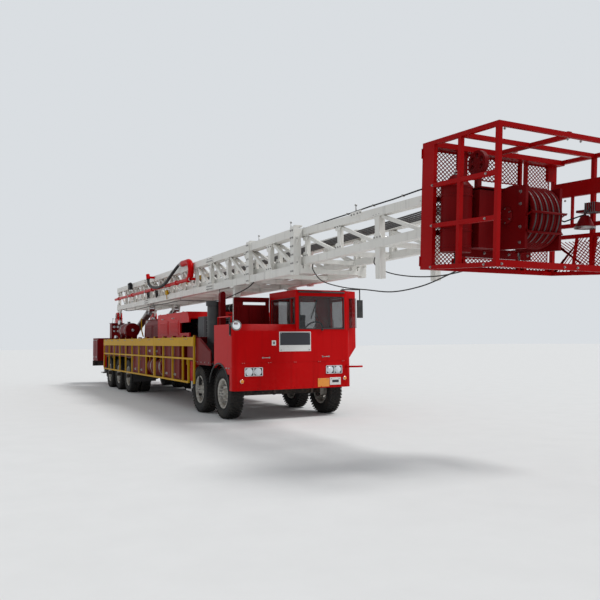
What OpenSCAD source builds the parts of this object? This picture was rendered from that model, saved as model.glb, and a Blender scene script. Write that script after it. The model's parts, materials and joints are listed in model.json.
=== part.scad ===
// Truck-mounted workover rig, stowed for the road. +X is forward, +Y is the rig's left, Z = 0 is the ground.
// Distances along the rig are given as s, measured back from the nose's front face; x_at(s) turns them into X.

/* [Carrier] */
// Length of the carrier from its nose to its tail bumper
carrier_len = 15000; // [14600:50:16000]
// Height of the walking deck above the ground
deck_z = 1640; // [1600:10:1700]
// Underside of the chassis rails
rail_z = 720; // [700:10:760]
// Height of the chassis rails
rail_h = 320; // [260:10:340]
// Distance between the chassis rails' outer faces
frame_w = 880; // [800:10:900]
// Wall of the chassis rails
rail_t = 12; // [8:1:20]

/* [Wheels] */
// Outer diameter of the tyres
tyre_d = 1000; // [960:10:1040]
// Width of one tyre
tyre_w = 285; // [260:5:300]
// Diameter of the wheel rims
rim_d = 572; // [540:4:600]
// Distance between the middles of the outer wheels, left to right
track = 2200; // [2160:10:2210]
// Distance between the two tyres of a twin wheel, middle to middle
twin_pitch = 335; // [320:5:345]
// Place of the first steered axle, behind the nose
axle_1 = 790; // [760:10:820]
// Place of the second steered axle, behind the nose
axle_2 = 2230; // [2200:10:2260]
// Distance from the first driven axle to the tail
bogie_back = 5800; // [5700:10:6000]
// How far the tyres stand in from the body's sides
tyre_inset = 57.5; // [50:0.5:70]
// Distance from one driven axle to the next
drive_pitch = 1400; // [1320:10:1450]

/* [Nose and cab] */
// Underside of the nose panel
nose_z0 = 590; // [540:10:640]
// Top of the nose panel, at the windscreen's sill
nose_z1 = 1740; // [1700:10:1800]
// Length of the nose's sides
nose_len = 1080; // [1000:10:1200]
// Wall of the nose, the cab and their panels
panel_t = 40; // [30:1:50]
// Height of the cab's roof above the ground
roof_z = 2560; // [2500:10:2580]
// Length of the cab
cab_len = 1280; // [1200:10:1320]
// Place of the cab's inner side, left of the rig's middle
cab_y = 30; // [0:10:80]
// How far the cab stands out beyond the body on its own side
cab_out = 200; // [150:10:220]
// How far the mirrors reach out beyond the body
mirror_out = 240; // [230:10:300]

/* [Mast] */
// Distance from the mast's pivot to the tail
pivot_back = 1600; // [1500:10:1700]
// Height of the mast's pivot above the ground
pivot_z = 2500; // [2450:10:2550]
// Width of the lower mast section over its chords
mast_w = 1440; // [1400:10:1480]
// Depth of the lower mast section over its chords
mast_d = 800; // [760:10:840]
// Underside of the lower mast section above the ground
mast_z = 2720; // [2700:10:2760]
// Size of the lower section's square chords
chord = 150; // [120:5:160]
// Size of the lower section's struts
strut = 90; // [60:5:100]
// Number of bays in the lower section
lower_bays = 13; // [10:1:15]
// How far the lower section's front end stands ahead of the nose
lower_reach = 1500; // [1400:10:1700]
// Size of the upper section's square chords
top_chord = 120; // [100:5:130]
// Running gap between the two mast sections
mast_gap = 12; // [8:1:20]
// Number of bays in the upper section
upper_bays = 15; // [12:1:18]
// How far the upper section's crown end stands ahead of the nose
upper_reach = 5480; // [5300:10:5600]
// Length of the upper section
upper_len = 17700; // [17000:50:17800]
// How far the upper section narrows in depth towards its crown end
crown_taper = 100; // [0:10:150]

/* [Crown platform] */
// Width of the crown platform
platform_w = 2150; // [2000:10:2300]
// Height of the platform's plane while the mast is stowed
platform_h = 1500; // [1400:10:1600]
// Height of the platform's lower edge above the ground
platform_z = 2370; // [2300:10:2420]
// Depth of the guard rails around the platform
guard_d = 1280; // [1100:10:1300]
// Angle by which the platform's plane leans forward
platform_tilt = 4; // [3:0.5:5]
// Size of the platform's square tubes
guard_t = 50; // [40:5:60]
// Diameter of the crown sheaves
sheave_d = 730; // [650:10:760]
// Number of crown sheaves
sheave_n = 5; // [4:1:6]

/* [Handrails] */
// Distance from the second axle back to the handrails' front end
hand_front = 50; // [50:5:100]
// Distance from the handrails' rear end to the tail
hand_back = 2480; // [2450:10:2600]
// Place of the seam between front and rear handrail
hand_seam = 5660; // [5400:10:5900]
// Height of the handrails from hinge to top rail
hand_h = 1050; // [1000:10:1060]

/* [Hidden] */

red = "#c4121a";
dark_red = "#6d0f14";
yellow = "#d7a512";
white = "#e8e6de";
grey = "#9a9ca0";
black = "#1c1c1e";

$fn = 32;

// Angles and places that follow from the driving sizes
body_w = track + tyre_w + 2 * tyre_inset;
axle_3 = carrier_len - bogie_back;
pivot_s = carrier_len - pivot_back;
hand_s0 = axle_2 + hand_front;
hand_s1 = carrier_len - hand_back;
wheel_z = tyre_d / 2;
rail_top = rail_z + rail_h;
half_w = body_w / 2;
mirror_reach = half_w + mirror_out;
tilt_reach = guard_d * cos(platform_tilt) + platform_h * sin(platform_tilt);
platform_s = -(upper_reach + 90);
front_reach = -platform_s + tilt_reach + guard_t * cos(platform_tilt) / 2;
nose_x = (carrier_len - front_reach) / 2;
axle_s = [axle_1, axle_2, axle_3, axle_3 + drive_pitch, axle_3 + 2 * drive_pitch];

function x_at(s) = nose_x - s;
function norm3(v) = sqrt(v[0] * v[0] + v[1] * v[1] + v[2] * v[2]);

// A box between two corners, with the rig's length given as s
module block(s0, s1, y0, y1, z0, z1) {
  translate([x_at(s1), y0, z0])
    cube([s1 - s0, y1 - y0, z1 - z0]);
}

// Its children and their mirror image on the other side
module both() {
  children();
  mirror([0, 1, 0]) children();
}

// A flat outline in Y and Z, drawn out along the rig from s0 to s1
module along(s0, s1) {
  translate([x_at(s1), 0, 0])
    rotate([90, 0, 90])
      linear_extrude(s1 - s0) children();
}

// A flat outline in X and Z, drawn out across the rig from y0 to y1
module across(y0, y1) {
  translate([0, y1, 0])
    rotate([90, 0, 0])
      linear_extrude(y1 - y0) children();
}

// A round bar between two points given as [s, y, z]
module bar(a, b, d) {
  v = [a[0] - b[0], b[1] - a[1], b[2] - a[2]];
  n = norm3(v);
  translate([x_at(a[0]), a[1], a[2]])
    rotate([0, acos(v[2] / n), atan2(v[1], v[0])])
      cylinder(d = d, h = n);
}

// A square or flat bar between two points given as [s, y, z]
module beam(a, b, w, h) {
  v = [a[0] - b[0], b[1] - a[1], b[2] - a[2]];
  n = norm3(v);
  translate([x_at(a[0]), a[1], a[2]])
    rotate([0, acos(v[2] / n), atan2(v[1], v[0])])
      translate([-h / 2, -w / 2, 0])
        cube([h, w, n]);
}

// A shaft across the rig
module shaft(s, y0, y1, z, d) {
  translate([x_at(s), y0, z])
    rotate([-90, 0, 0])
      cylinder(d = d, h = y1 - y0);
}

// Chassis

cross_n = 10;
cross_pitch = (carrier_len - 450) / (cross_n - 1);
cross_h = 200;
bearer_h = 60;

module rail_outline() {
  difference() {
    translate([-frame_w / 2, rail_z]) square([90, rail_h]);
    translate([-frame_w / 2 + rail_t, rail_z + rail_t]) square([90, rail_h - 2 * rail_t]);
  }
}

// Towing eyes at both ends of the rails
tow_s = [110, carrier_len - 170];
tow_z = 545;
tow_d = 50;

module tow_eye(s) {
  difference() {
    union() {
      block(s - 60, s + 60, frame_w / 2 - 50, frame_w / 2 - 10, tow_z, rail_z + 40);
      shaft(s, frame_w / 2 - 50, frame_w / 2 - 10, tow_z, 120);
    }
    shaft(s, 0, half_w, tow_z, tow_d);
  }
}

module chassis() {
  color(black) {
    both() for (s = tow_s) tow_eye(s);
    both() along(60, carrier_len - 80) rail_outline();
    for (i = [0 : cross_n - 1])
      translate([-i * cross_pitch, 0, 0])
        block(150, 230, -frame_w / 2 + rail_t, frame_w / 2 - rail_t, rail_z + 60, rail_z + 60 + cross_h);
    block(carrier_len - 80, carrier_len, -half_w, half_w, rail_z - 70, rail_z + 130);
    // bearers under the cab and the well's floor
    for (s = [180, 1150]) {
      block(s, s + 80, -half_w + panel_t, half_w - panel_t, rail_top, rail_top + bearer_h);
      block(s, s + 80, cab_y + 20, half_w - 100, rail_top + bearer_h + seam, cab_floor_z);
    }
  }
}

// Axles and springs

kingpin_y = track / 2 - 170;
kingpin_d = 44;
kingpin_h = 300;
spindle_d = 70;
stub_d = 110;
fit = 0.05;
// Gap between pieces of one body that are bolted face to face
seam = 0.3;
spring_y = frame_w / 2 - 45;

module leaf_spring(s) {
  for (i = [0:4])
    block(s - 560 + i * 90, s + 560 - i * 90, spring_y - 40, spring_y + 40, rail_z - 90 - i * 14, rail_z - 76 - i * 14);
  for (e = [-520, 520])
    block(s + e - 30, s + e + 30, spring_y - 40, spring_y + 40, rail_z - 76, rail_z);
}

module front_axle(s) {
  axle_top = rail_z - 90 - 4 * 14;
  block(s - 45, s + 45, -kingpin_y + 70, kingpin_y - 70, wheel_z - 60, wheel_z + 50);
  both() {
    block(s - 45, s + 45, spring_y - 40, spring_y + 40, wheel_z + 50, axle_top);
    translate([x_at(s), kingpin_y, wheel_z - 60]) cylinder(d = 110, h = 110);
    block(s - 45, s + 45, kingpin_y - 80, kingpin_y, wheel_z - 50, wheel_z + 40);
    translate([x_at(s), kingpin_y, wheel_z - kingpin_h / 2]) cylinder(d = kingpin_d, h = kingpin_h);
    leaf_spring(s);
  }
}

// Distance from a driven axle to the faces of its drive flanges
flange_s = 225;
case_s0 = axle_3 - 1800;
case_s1 = axle_3 - 1300;
shaft_d = 100;

module drive_axle(s) {
  shaft(s, -(track / 2 + 180), track / 2 + 180, wheel_z, stub_d);
  shaft(s, -540, 540, wheel_z, 190);
  translate([x_at(s), 0, wheel_z]) sphere(d = 420);
  bar([s + flange_s, 0, wheel_z], [s - flange_s, 0, wheel_z], 180);
  axle_top = rail_z - 90 - 4 * 14;
  both() {
    block(s - 60, s + 60, spring_y - 40, spring_y + 40, wheel_z, axle_top);
    leaf_spring(s);
  }
}

module axles() {
  color(black) {
    for (i = [0:1]) front_axle(axle_s[i]);
    for (i = [2:4]) drive_axle(axle_s[i]);
    // transfer case hung under the rails, and the drive shafts
    block(case_s0, case_s1, -260, 260, wheel_z - 80, rail_z - 20);
    for (s = [case_s0 + 50, case_s1 - 130])
      block(s, s + 80, -frame_w / 2, frame_w / 2, rail_z - 20, rail_z);
    bar([axle_s[2] - flange_s, 0, wheel_z], [case_s1, 0, wheel_z], shaft_d);
    for (i = [2:3]) bar([axle_s[i + 1] - flange_s, 0, wheel_z], [axle_s[i] + flange_s, 0, wheel_z], shaft_d);
  }
}

// Steering knuckle: a fork round the kingpin, with the wheel's spindle
module knuckle(axle, side) {
  s = axle_s[axle];
  spindle_y0 = kingpin_y + 62;
  color(black)
    mirror([0, side < 0 ? 1 : 0, 0])
      difference() {
        union() {
          for (z = [wheel_z - 130, wheel_z + 60])
            translate([x_at(s), kingpin_y, z]) cylinder(d = 100, h = 60);
          for (z = [wheel_z - 130, wheel_z + 60])
            block(s - 50, s + 50, kingpin_y, spindle_y0 + 20, z, z + 60);
          block(s - 50, s + 50, spindle_y0, spindle_y0 + 20, wheel_z - 130, wheel_z + 120);
          shaft(s, spindle_y0 + 20, track / 2 + 120, wheel_z, spindle_d);
        }
        translate([x_at(s), kingpin_y, wheel_z - 200]) cylinder(d = kingpin_d + 2 * fit, h = 400);
      }
}

// Wheels

module tyre_outline(w) {
  r0 = rim_d / 2 + 12;
  r1 = tyre_d / 2;
  h = w / 2;
  intersection() {
    translate([r0, -h]) square([r1 - r0, w]);
    union() {
      translate([r0, -h + 30]) square([60, w - 60]);
      translate([r0 + 45, -h]) square([r1 - r0 - 95, w]);
      translate([r0 + 45, -h + 30]) square([r1 - r0 - 45, w - 60]);
      for (e = [-1, 1]) {
        translate([r1 - 40, e * (h - 40)]) circle(r = 40);
        translate([r0 + 45, e * (h - 45)]) circle(r = 45);
      }
    }
  }
}

// One wheel disc and rim; dish is how far the disc stands from the wheel's middle
module rim_outline(w, dish, bore_r) {
  r = rim_d / 2;
  h = w / 2 - 25;
  translate([r - 20, -h]) square([20, 2 * h]);
  for (e = [-1, 1])
    translate([r - 20, e * (h - 8) - 8]) square([31.7, 16]);
  translate([bore_r, dish - 8]) square([r - bore_r - 4, 16]);
}

module wheel_ring(y, dish, bore_r) {
  color(black) translate([0, y, 0]) rotate([90, 0, 0]) rotate_extrude($fn = 64) tyre_outline(tyre_w);
  color(grey)
    translate([0, y, 0]) rotate([90, 0, 0])
      difference() {
        rotate_extrude($fn = 64) rim_outline(tyre_w, dish, bore_r);
        for (i = [0:9])
          rotate([0, 0, i * 36]) translate([200, 0, dish - 30]) cylinder(d = 46, h = 60);
      }
}

module hub(y0, y1, d, bore_d) {
  color(grey)
    translate([0, y0, 0]) rotate([-90, 0, 0])
      difference() {
        cylinder(d = d, h = y1 - y0);
        translate([0, 0, -1]) cylinder(d = bore_d, h = y1 - y0 + 2);
      }
}

module front_wheel(axle, side) {
  translate([x_at(axle_s[axle]), 0, wheel_z])
    mirror([0, side < 0 ? 1 : 0, 0]) {
      wheel_ring(track / 2, -95, 90);
      hub(track / 2 - 60, track / 2 + 118, 190, spindle_d + 2 * fit);
    }
}

module twin_wheel(axle, side) {
  translate([x_at(axle_s[axle]), 0, wheel_z])
    mirror([0, side < 0 ? 1 : 0, 0]) {
      wheel_ring(track / 2, 95, 110);
      wheel_ring(track / 2 - twin_pitch, -95, 110);
      hub(track / 2 - twin_pitch - 40, track / 2 + 120, 250, stub_d + 2 * fit);
    }
}

// Nose and cab

arch_r = tyre_d / 2 + 80;
corner_r = 110;

module rounded_plan(s0, s1, y0, y1, r) {
  translate([x_at(s1), y0]) square([s1 - s0 - r, y1 - y0]);
  translate([x_at(s0) - r, y0 + r]) square([r, y1 - y0 - 2 * r]);
  for (y = [y0 + r, y1 - r]) translate([x_at(s0) - r, y]) circle(r = r);
}

lamp_y = 885;
lamp_w = 380;
lamp_h = 170;
lamp_z = 950;

// Top of the slanted cowl and of the well's side wall
cowl_z = nose_z1 + 130;
cowl_s = 100;
seam_z = 1120;

module nose_plan() {
  rounded_plan(0, nose_len, -half_w, half_w, corner_r);
}

module nose() {
  color(red)
    difference() {
      union() {
        translate([0, 0, nose_z0]) linear_extrude(nose_z1 - nose_z0)
          difference() {
            nose_plan();
            translate([-panel_t, 0]) rounded_plan(0, nose_len + 10, -half_w + panel_t, half_w - panel_t,
              corner_r - panel_t);
          }
        // slanted cowl ahead of the well, and the well's side wall
        intersection() {
          translate([0, 0, nose_z1]) linear_extrude(cowl_z - nose_z1) nose_plan();
          union() {
            across(-half_w, cab_y)
              polygon([[x_at(0), nose_z1], [x_at(cowl_s), cowl_z], [x_at(cowl_s + panel_t), cowl_z],
                [x_at(panel_t), nose_z1]]);
            across(-half_w, -half_w + panel_t)
              polygon([[x_at(0), nose_z1], [x_at(cowl_s), cowl_z], [x_at(nose_len), cowl_z], [x_at(nose_len), nose_z1]]);
          }
        }
      }
      for (e = [-1, 1]) {
        translate([x_at(axle_1), e * half_w, wheel_z]) rotate([90, 0, 0])
          cylinder(r = arch_r, h = 300, center = true, $fn = 64);
        block(axle_1 - arch_r, nose_len + 5, e * half_w - 150, e * half_w + 150, nose_z0 - 5, wheel_z + 400);
        block(-5, 26, e * lamp_y - lamp_w / 2, e * lamp_y + lamp_w / 2, lamp_z - lamp_h / 2, lamp_z + lamp_h / 2);
      }
      // seam between the lower and the upper panel
      block(-5, 5, -half_w - 5, half_w + 5, seam_z - 4, seam_z + 4);
      // the cab's side takes this place
      block(panel_t, nose_len + 5, half_w - panel_t - 100, half_w + 5, cab_floor_z, nose_z1 + 5);
    }
}

cab_floor_z = 1150;
pillar = 70;

cab_y1 = half_w + cab_out;
chamfer_y = 1180;
chamfer_s = 150;
cab_low_z = 1390;
// Gap that the rubber seal fills round each pane
seal = 0.3;

module cab_plan(g) {
  polygon([[x_at(cab_len) + g, cab_y + g], [x_at(0) - g, cab_y + g], [x_at(0) - g, chamfer_y - g / 2],
    [x_at(chamfer_s) - g, cab_y1 - g], [x_at(cab_len) + g, cab_y1 - g]]);
}

// The lower left side slants in to the carrier's width
module cab_skirt(g) {
  along(panel_t + g, cab_len - g)
    polygon([[cab_y + g, cab_floor_z + g], [half_w - panel_t - 10 - g / 2, cab_floor_z + g], [cab_y1 - g, cab_low_z + g / 2],
      [cab_y1 - g, nose_z1 + 1], [cab_y + g, nose_z1 + 1]]);
}

module cab() {
  color(red)
    difference() {
      union() {
        translate([0, 0, nose_z1]) linear_extrude(roof_z - nose_z1) cab_plan(0);
        intersection() {
          cab_skirt(0);
          translate([0, 0, cab_floor_z]) linear_extrude(nose_z1 - cab_floor_z + 1) cab_plan(0);
        }
      }
      translate([0, 0, nose_z1 - 1]) linear_extrude(roof_z - nose_z1 - panel_t + 1) cab_plan(panel_t);
      intersection() {
        cab_skirt(panel_t);
        translate([0, 0, cab_floor_z]) linear_extrude(nose_z1 - cab_floor_z + 1) cab_plan(panel_t);
      }
      // windscreen, side window, rear window
      block(-10, panel_t + 10, cab_y + 90, chamfer_y - 60, nose_z1 + 50, roof_z - 150);
      block(280, 1155, cab_y - 10, cab_y + panel_t + 10, nose_z1 + 60, roof_z - 170);
      block(60, 210, cab_y - 10, cab_y + panel_t + 10, cowl_z + 20, roof_z - 170);
      block(cab_len - panel_t - 10, cab_len + 10, cab_y + 200, cab_y1 - 350, nose_z1 + 60, roof_z - 170);
      // door opening
      block(door_s0 - 6, door_s1 + 6, cab_y1 - panel_t - 30, cab_y1 + 10, door_z0 - 6, door_z1 + 6);
      // corner window
      corner_window(0, 80);
    }
  color(red)
    for (z = hinge_zs) {
      block(380, hinge_s + 4, cab_y1, cab_y1 + 2 * barrel_r - 4, z - 22, z - 2);
      translate([x_at(hinge_s), cab_y1 + barrel_r, z - 22]) cylinder(r = hinge_pin_r, h = 66);
    }
}

// The window in the slanted corner, grown by g and t thick
module corner_window(g, t) {
  dy = cab_y1 - chamfer_y;
  n = norm3([chamfer_s, dy, 0]);
  translate([x_at(chamfer_s / 2), chamfer_y + dy / 2, nose_z1 + 50 - g])
    rotate([0, 0, -atan2(chamfer_s, dy) + 90])
      translate([-(n - 110) / 2 - g, -t / 2, 0])
        cube([n - 110 + 2 * g, t, roof_z - 150 - nose_z1 - 50 + 2 * g]);
}

module cab_glass() {
  color("#9fb4bd", 0.4) {
    block(15, 21, cab_y + 90 + seal, chamfer_y - 60 - seal, nose_z1 + 50 + seal, roof_z - 150 - seal);
    block(280 + seal, 1155 - seal, cab_y + 15, cab_y + 21, nose_z1 + 60 + seal, roof_z - 170 - seal);
    block(60 + seal, 210 - seal, cab_y + 15, cab_y + 21, cowl_z + 20 + seal, roof_z - 170 - seal);
    block(cab_len - 21, cab_len - 15, cab_y + 200 + seal, cab_y1 - 350 - seal, nose_z1 + 60 + seal, roof_z - 170 - seal);
    corner_window(-seal, 6);
  }
}

hinge_s = 420;
hinge_zs = [1500, 1980, 2380];
hinge_pin_r = 8;
barrel_r = 14;
door_s0 = 426;
door_s1 = cab_len - 86;
door_z0 = cab_low_z + 40;
door_z1 = roof_z - 116;

module door() {
  color(red)
    difference() {
      block(door_s0, door_s1, cab_y1 - panel_t, cab_y1, door_z0, door_z1);
      block(door_s0 + 60, door_s1 - 60, cab_y1 - 100, cab_y1 + 100, nose_z1 + 80, door_z1 - 60);
    }
  color(red)
    for (z = hinge_zs)
      difference() {
        union() {
          translate([x_at(hinge_s), cab_y1 + barrel_r, z]) cylinder(r = barrel_r, h = 40);
          block(hinge_s, hinge_s + 70, cab_y1, cab_y1 + 8, z, z + 40);
        }
        translate([x_at(hinge_s), cab_y1 + barrel_r, z - 5]) cylinder(r = hinge_pin_r + fit, h = 50);
      }
}

module door_glass() {
  color("#9fb4bd", 0.4)
    block(door_s0 + 60 + seal, door_s1 - 60 - seal, cab_y1 - 23, cab_y1 - 17, nose_z1 + 80 + seal, door_z1 - 60 - seal);
}

seat_s = 880;
seat_y = cab_y + 620;

module seat() {
  color(black) {
    block(seat_s - 230, seat_s + 230, seat_y - 230, seat_y + 230, cab_floor_z + panel_t + 300, cab_floor_z + panel_t + 420);
    block(seat_s + 230, seat_s + 330, seat_y - 220, seat_y + 220, cab_floor_z + panel_t + 300, cab_floor_z + panel_t + 950);
    block(seat_s - 120, seat_s + 120, seat_y - 120, seat_y + 120, cab_floor_z + panel_t, cab_floor_z + panel_t + 300);
  }
}

module controls() {
  color(black) {
    block(panel_t + 60, 300, cab_y + 60, chamfer_y - 60, cab_floor_z + panel_t, nose_z1 - 40);
    bar([280, seat_y, nose_z1 - 120], [430, seat_y, nose_z1 + 10], 50);
    translate([x_at(440), seat_y, nose_z1 + 17]) rotate([0, -54, 0])
      rotate_extrude() translate([210, 0]) circle(r = 15);
    translate([x_at(440), seat_y, nose_z1 + 17]) rotate([0, -54, 0]) {
      cube([420, 30, 20], center = true);
      cube([30, 420, 20], center = true);
    }
  }
}

module lamps() {
  for (e = [-1, 1]) {
    color(grey)
      difference() {
        block(2, 26, e * lamp_y - lamp_w / 2 + 2, e * lamp_y + lamp_w / 2 - 2, lamp_z - lamp_h / 2 + 2,
          lamp_z + lamp_h / 2 - 2);
        for (k = [-1, 1])
          block(0, 14, e * lamp_y + k * 88 - 76, e * lamp_y + k * 88 + 76, lamp_z - 62, lamp_z + 62);
      }
    color("orange")
      translate([x_at(0), e * 1130, 770]) rotate([0, 90, 0]) cylinder(d = 70, h = 30);
  }
}

module mirrors() {
  mirror_r = 95;
  mirror_s = -500;
  mirror_w = 120;
  mirror_z = nose_z1 + 90;
  arm_y = -half_w - 22;
  tall_y = mirror_reach - mirror_w / 2;
  color(black) {
    // round mirror on its arm at the right-hand corner
    block(115, 165, -half_w - 12, -half_w, nose_z1 - 100, nose_z1 + 110);
    bar([140, arm_y, nose_z1 - 80], [140, arm_y, nose_z1 + 220], 24);
    bar([140, arm_y, nose_z1 + 150], [mirror_s, -mirror_reach + mirror_r, mirror_z], 24);
    translate([x_at(mirror_s), -mirror_reach + mirror_r, mirror_z])
      rotate([0, 90, 0]) cylinder(r = mirror_r, h = 40);
    // tall mirror beside the cab, on an arm from the roof
    block(20, 80, chamfer_y - 80, chamfer_y - 20, roof_z, roof_z + 20);
    bar([50, chamfer_y - 50, roof_z + 28], [-70, tall_y, roof_z + 28], 24);
    bar([-70, tall_y, roof_z + 36], [-70, tall_y, roof_z - 200], 24);
    block(-90, -50, mirror_reach - mirror_w, mirror_reach, roof_z - 560, roof_z - 190);
  }
}

// Well beside the cab, and the mast's headrest

// Guide posts beside the mast, with rounded tops
guide_s = 1640;
guide_w = 120;
guide_y = mast_w / 2 + 178;
guide_z = mast_z - 110;
// Upper face of the mudguard that the posts stand on
plate_t = 10;
plate_z1 = rail_top + bearer_h + plate_t;

module partition() {
  color(dark_red) {
    difference() {
      block(cab_len + 5, cab_len + 45, -780, cab_y - 5, rail_top + 40, roof_z - 90);
      block(cab_len, cab_len + 50, -580, -50, roof_z - 250, roof_z - 190);
    }
    block(corner_r, cab_len + 5 - seam, -half_w + panel_t + 5, cab_y - 5, rail_top + bearer_h, rail_top + bearer_h + 30);
    both()
      along(guide_s, guide_s + guide_w) {
        translate([guide_y - guide_w / 2, plate_z1])
          square([guide_w, guide_z - guide_w / 2 - plate_z1]);
        translate([guide_y, guide_z - guide_w / 2]) circle(r = guide_w / 2);
      }
    block(guide_s, guide_s + guide_w, -guide_y - guide_w / 2, guide_y + guide_w / 2, rail_top, rail_top + bearer_h);
  }
}

rest_s = 1500;
rest_y = mast_w / 2 - chord / 2;

module mast_rest() {
  color(white) {
    both() {
      block(rest_s - 70, rest_s + 70, rest_y - 60, rest_y + 60, rail_top + 100, mast_z - 40);
      block(rest_s - 110, rest_s + 110, rest_y - 110, rest_y + 110, mast_z - 40, mast_z - 0.3);
    }
    block(rest_s - 50, rest_s + 50, -rest_y - 60, rest_y + 60, rail_top, rail_top + 100);
  }
}

// Deck and what stands on it

hood_s0 = 3400;
drum_s = axle_3 - 100;
drum_z = 2000;
// Half length of the drawworks' side plates at their foot
drum_foot = 800;
// Room on the deck from the hood to the drawworks, shared by the hood and the cooler behind it
cooler_gap = 100;
drum_gap = 300;
deck_room = drum_s - drum_foot - hood_s0 - cooler_gap - drum_gap;
cooler_len = deck_room * 17 / 45;
hood_s1 = hood_s0 + deck_room - cooler_len;
hood_z = 2260;
deck_s1 = hand_s1 + 80;
deck_t = 40;
joist_w = 80;
box_n = 3;
box_gap = 150;
box_s0 = 3500;
box_s1 = axle_3 - tyre_d / 2 - 350;
box_len = (box_s1 - box_s0 - (box_n - 1) * box_gap) / box_n;
box_in = 20;
box_y0 = 520;
box_z = rail_z - 80;
joist_in = 40;
joist_s = concat([hand_s0 + 40, box_s0 - 100],
  [for (i = [1 : box_n - 1]) box_s0 + i * (box_len + box_gap) - box_gap / 2 - joist_w / 2],
  [box_s1 + 48, axle_3 + drive_pitch / 2, axle_3 + drive_pitch * 3 / 2, deck_s1 - 200]);

module deck() {
  color(dark_red) {
    block(hand_s0, deck_s1, -half_w, half_w, deck_z - deck_t, deck_z);
    for (s = joist_s)
      block(s, s + joist_w, -half_w + joist_in, half_w - joist_in, rail_top + bearer_h, deck_z - deck_t);
    both() {
      block(hand_s0, deck_s1, frame_w / 2 - 90, frame_w / 2, rail_top, rail_top + bearer_h);
      rail_lugs(hand_s0, hand_seam - 10);
      rail_lugs(hand_seam + 10, hand_s1);
    }
  }
}

// Boxes, tanks, skirts and mudguards

tank_r = 260;
tank_y = half_w - box_in - tank_r;
guard_plate_z = rail_top + bearer_h;
fender_s0 = cab_len + 20;
fender_s1 = 2260;
fender_z0 = 1040;
fender_z1 = 1340;
fender_z2 = deck_z - 20;
skirt_t = 20;
tail_s0 = pivot_s + 560;
tail_s1 = carrier_len - 85;
deck_box_s0 = hood_s1 + cooler_gap;
deck_box_y = half_w - 300;
gear_y0 = 640;
gear_y1 = half_w - 150;
gear_s0 = axle_3 + 900;

module boxes() {
  color(dark_red)
    both() {
      // side boxes under the deck, the middle ones over a round tank
      for (i = [0 : box_n - 1]) {
        s = box_s0 + i * (box_len + box_gap);
        z0 = i == 1 ? rail_z + 460 : box_z;
        block(s, s + box_len, box_y0, half_w - box_in, z0, deck_z - deck_t);
        if (i == 1) {
          z = rail_z + 430 - tank_r;
          bar([s + box_len - 60, tank_y, z], [s + 60, tank_y, z], 2 * tank_r);
          for (e = [s + 250, s + box_len - 330])
            block(e, e + 80, tank_y - 160, tank_y + 160, z, z0);
        }
      }
      // skirts over the driven wheels, and their mudguards
      block(box_s1 + 10, deck_s1, half_w - joist_in, half_w - joist_in + skirt_t, guard_plate_z, deck_z - deck_t);
      block(box_s1 + 10, deck_s1, box_y0, half_w - joist_in + skirt_t, guard_plate_z - plate_t, guard_plate_z);
      // skirts between the second steered wheels and the side boxes
      block(hand_s0, jack_s[0] - jack_w / 2 - 10, half_w - joist_in, half_w - joist_in + skirt_t, guard_plate_z,
        deck_z - deck_t);
      // mudguards over the second steered wheels, with a slanted panel outside
      block(guide_s - 300, fender_s1, rest_y + 75, half_w - skirt_t, guard_plate_z, plate_z1);
      across(half_w - skirt_t, half_w)
        polygon([[x_at(fender_s1), fender_z0], [x_at(fender_s0), fender_z0], [x_at(fender_s0), fender_z1],
          [x_at(fender_s1 - 260), fender_z2], [x_at(fender_s1), fender_z2]]);
      // tail boxes
      block(tail_s0, tail_s1, 620, half_w, rail_z + 140, deck_z + 60);
      block(tail_s0 + 140, tail_s1 - 115, frame_w / 2, 620, rail_z + 160, rail_z + 280);
    }
  color(dark_red) {
    // cooler housing behind the hood
    along(deck_box_s0, deck_box_s0 + cooler_len)
      polygon([[-deck_box_y, deck_z], [deck_box_y, deck_z], [deck_box_y, deck_z + 400], [deck_box_y - 90, deck_z + 510],
        [-deck_box_y + 90, deck_z + 510], [-deck_box_y, deck_z + 400]]);
    // valve chest on the left, round oil tank on its saddles and driller's console on the right
    block(gear_s0, gear_s0 + 1500, gear_y0, gear_y1, deck_z, deck_z + 440);
    bar([gear_s0 + 1100, -890, deck_z + 290], [gear_s0, -890, deck_z + 290], 460);
    for (s = [gear_s0 + 180, gear_s0 + 840])
      block(s, s + 80, -1060, -720, deck_z, deck_z + 200);
    block(deck_s1 - 440, deck_s1 - 100, -gear_y1, -gear_y1 + 430, deck_z, deck_z + 560);
  }
}

hood_y = half_w - 200;

module hood() {
  color(red)
    difference() {
      across(-hood_y, hood_y)
        polygon([[x_at(hood_s0), deck_z], [x_at(hood_s0), hood_z - 160], [x_at(hood_s0 + 160), hood_z],
          [x_at(hood_s1), hood_z], [x_at(hood_s1), deck_z]]);
      across(-hood_y + panel_t, hood_y - panel_t)
        polygon([[x_at(hood_s0) + 5, deck_z - 5], [x_at(hood_s0) + 5, hood_z - 180], [x_at(hood_s0 + 180), hood_z - panel_t],
          [x_at(hood_s1 - panel_t), hood_z - panel_t], [x_at(hood_s1 - panel_t), deck_z - 5]]);
      // openings over the engine's front end
      block(hood_s0 - 10, hood_s0 + 750, -hood_y - 5, hood_y + 5, deck_z + 110, deck_z + 360);
    }
}

radiator_y = half_w - 400;

module engine() {
  color(grey) block(hood_s0 + 300, hood_s1 - 300, -450, 450, deck_z, hood_z - 150);
  // radiator in its shroud, ahead of the hood
  color(black)
    difference() {
      block(hood_s0 - 500, hood_s0 - 70, -radiator_y, radiator_y, deck_z, hood_z - 140);
      block(hood_s0 - 510, hood_s0 - 450, -radiator_y + 60, radiator_y - 60, deck_z + 60, hood_z - 200);
    }
}

// Centre line of the air intake, from the side panels
intake_y = half_w - 350;

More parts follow.
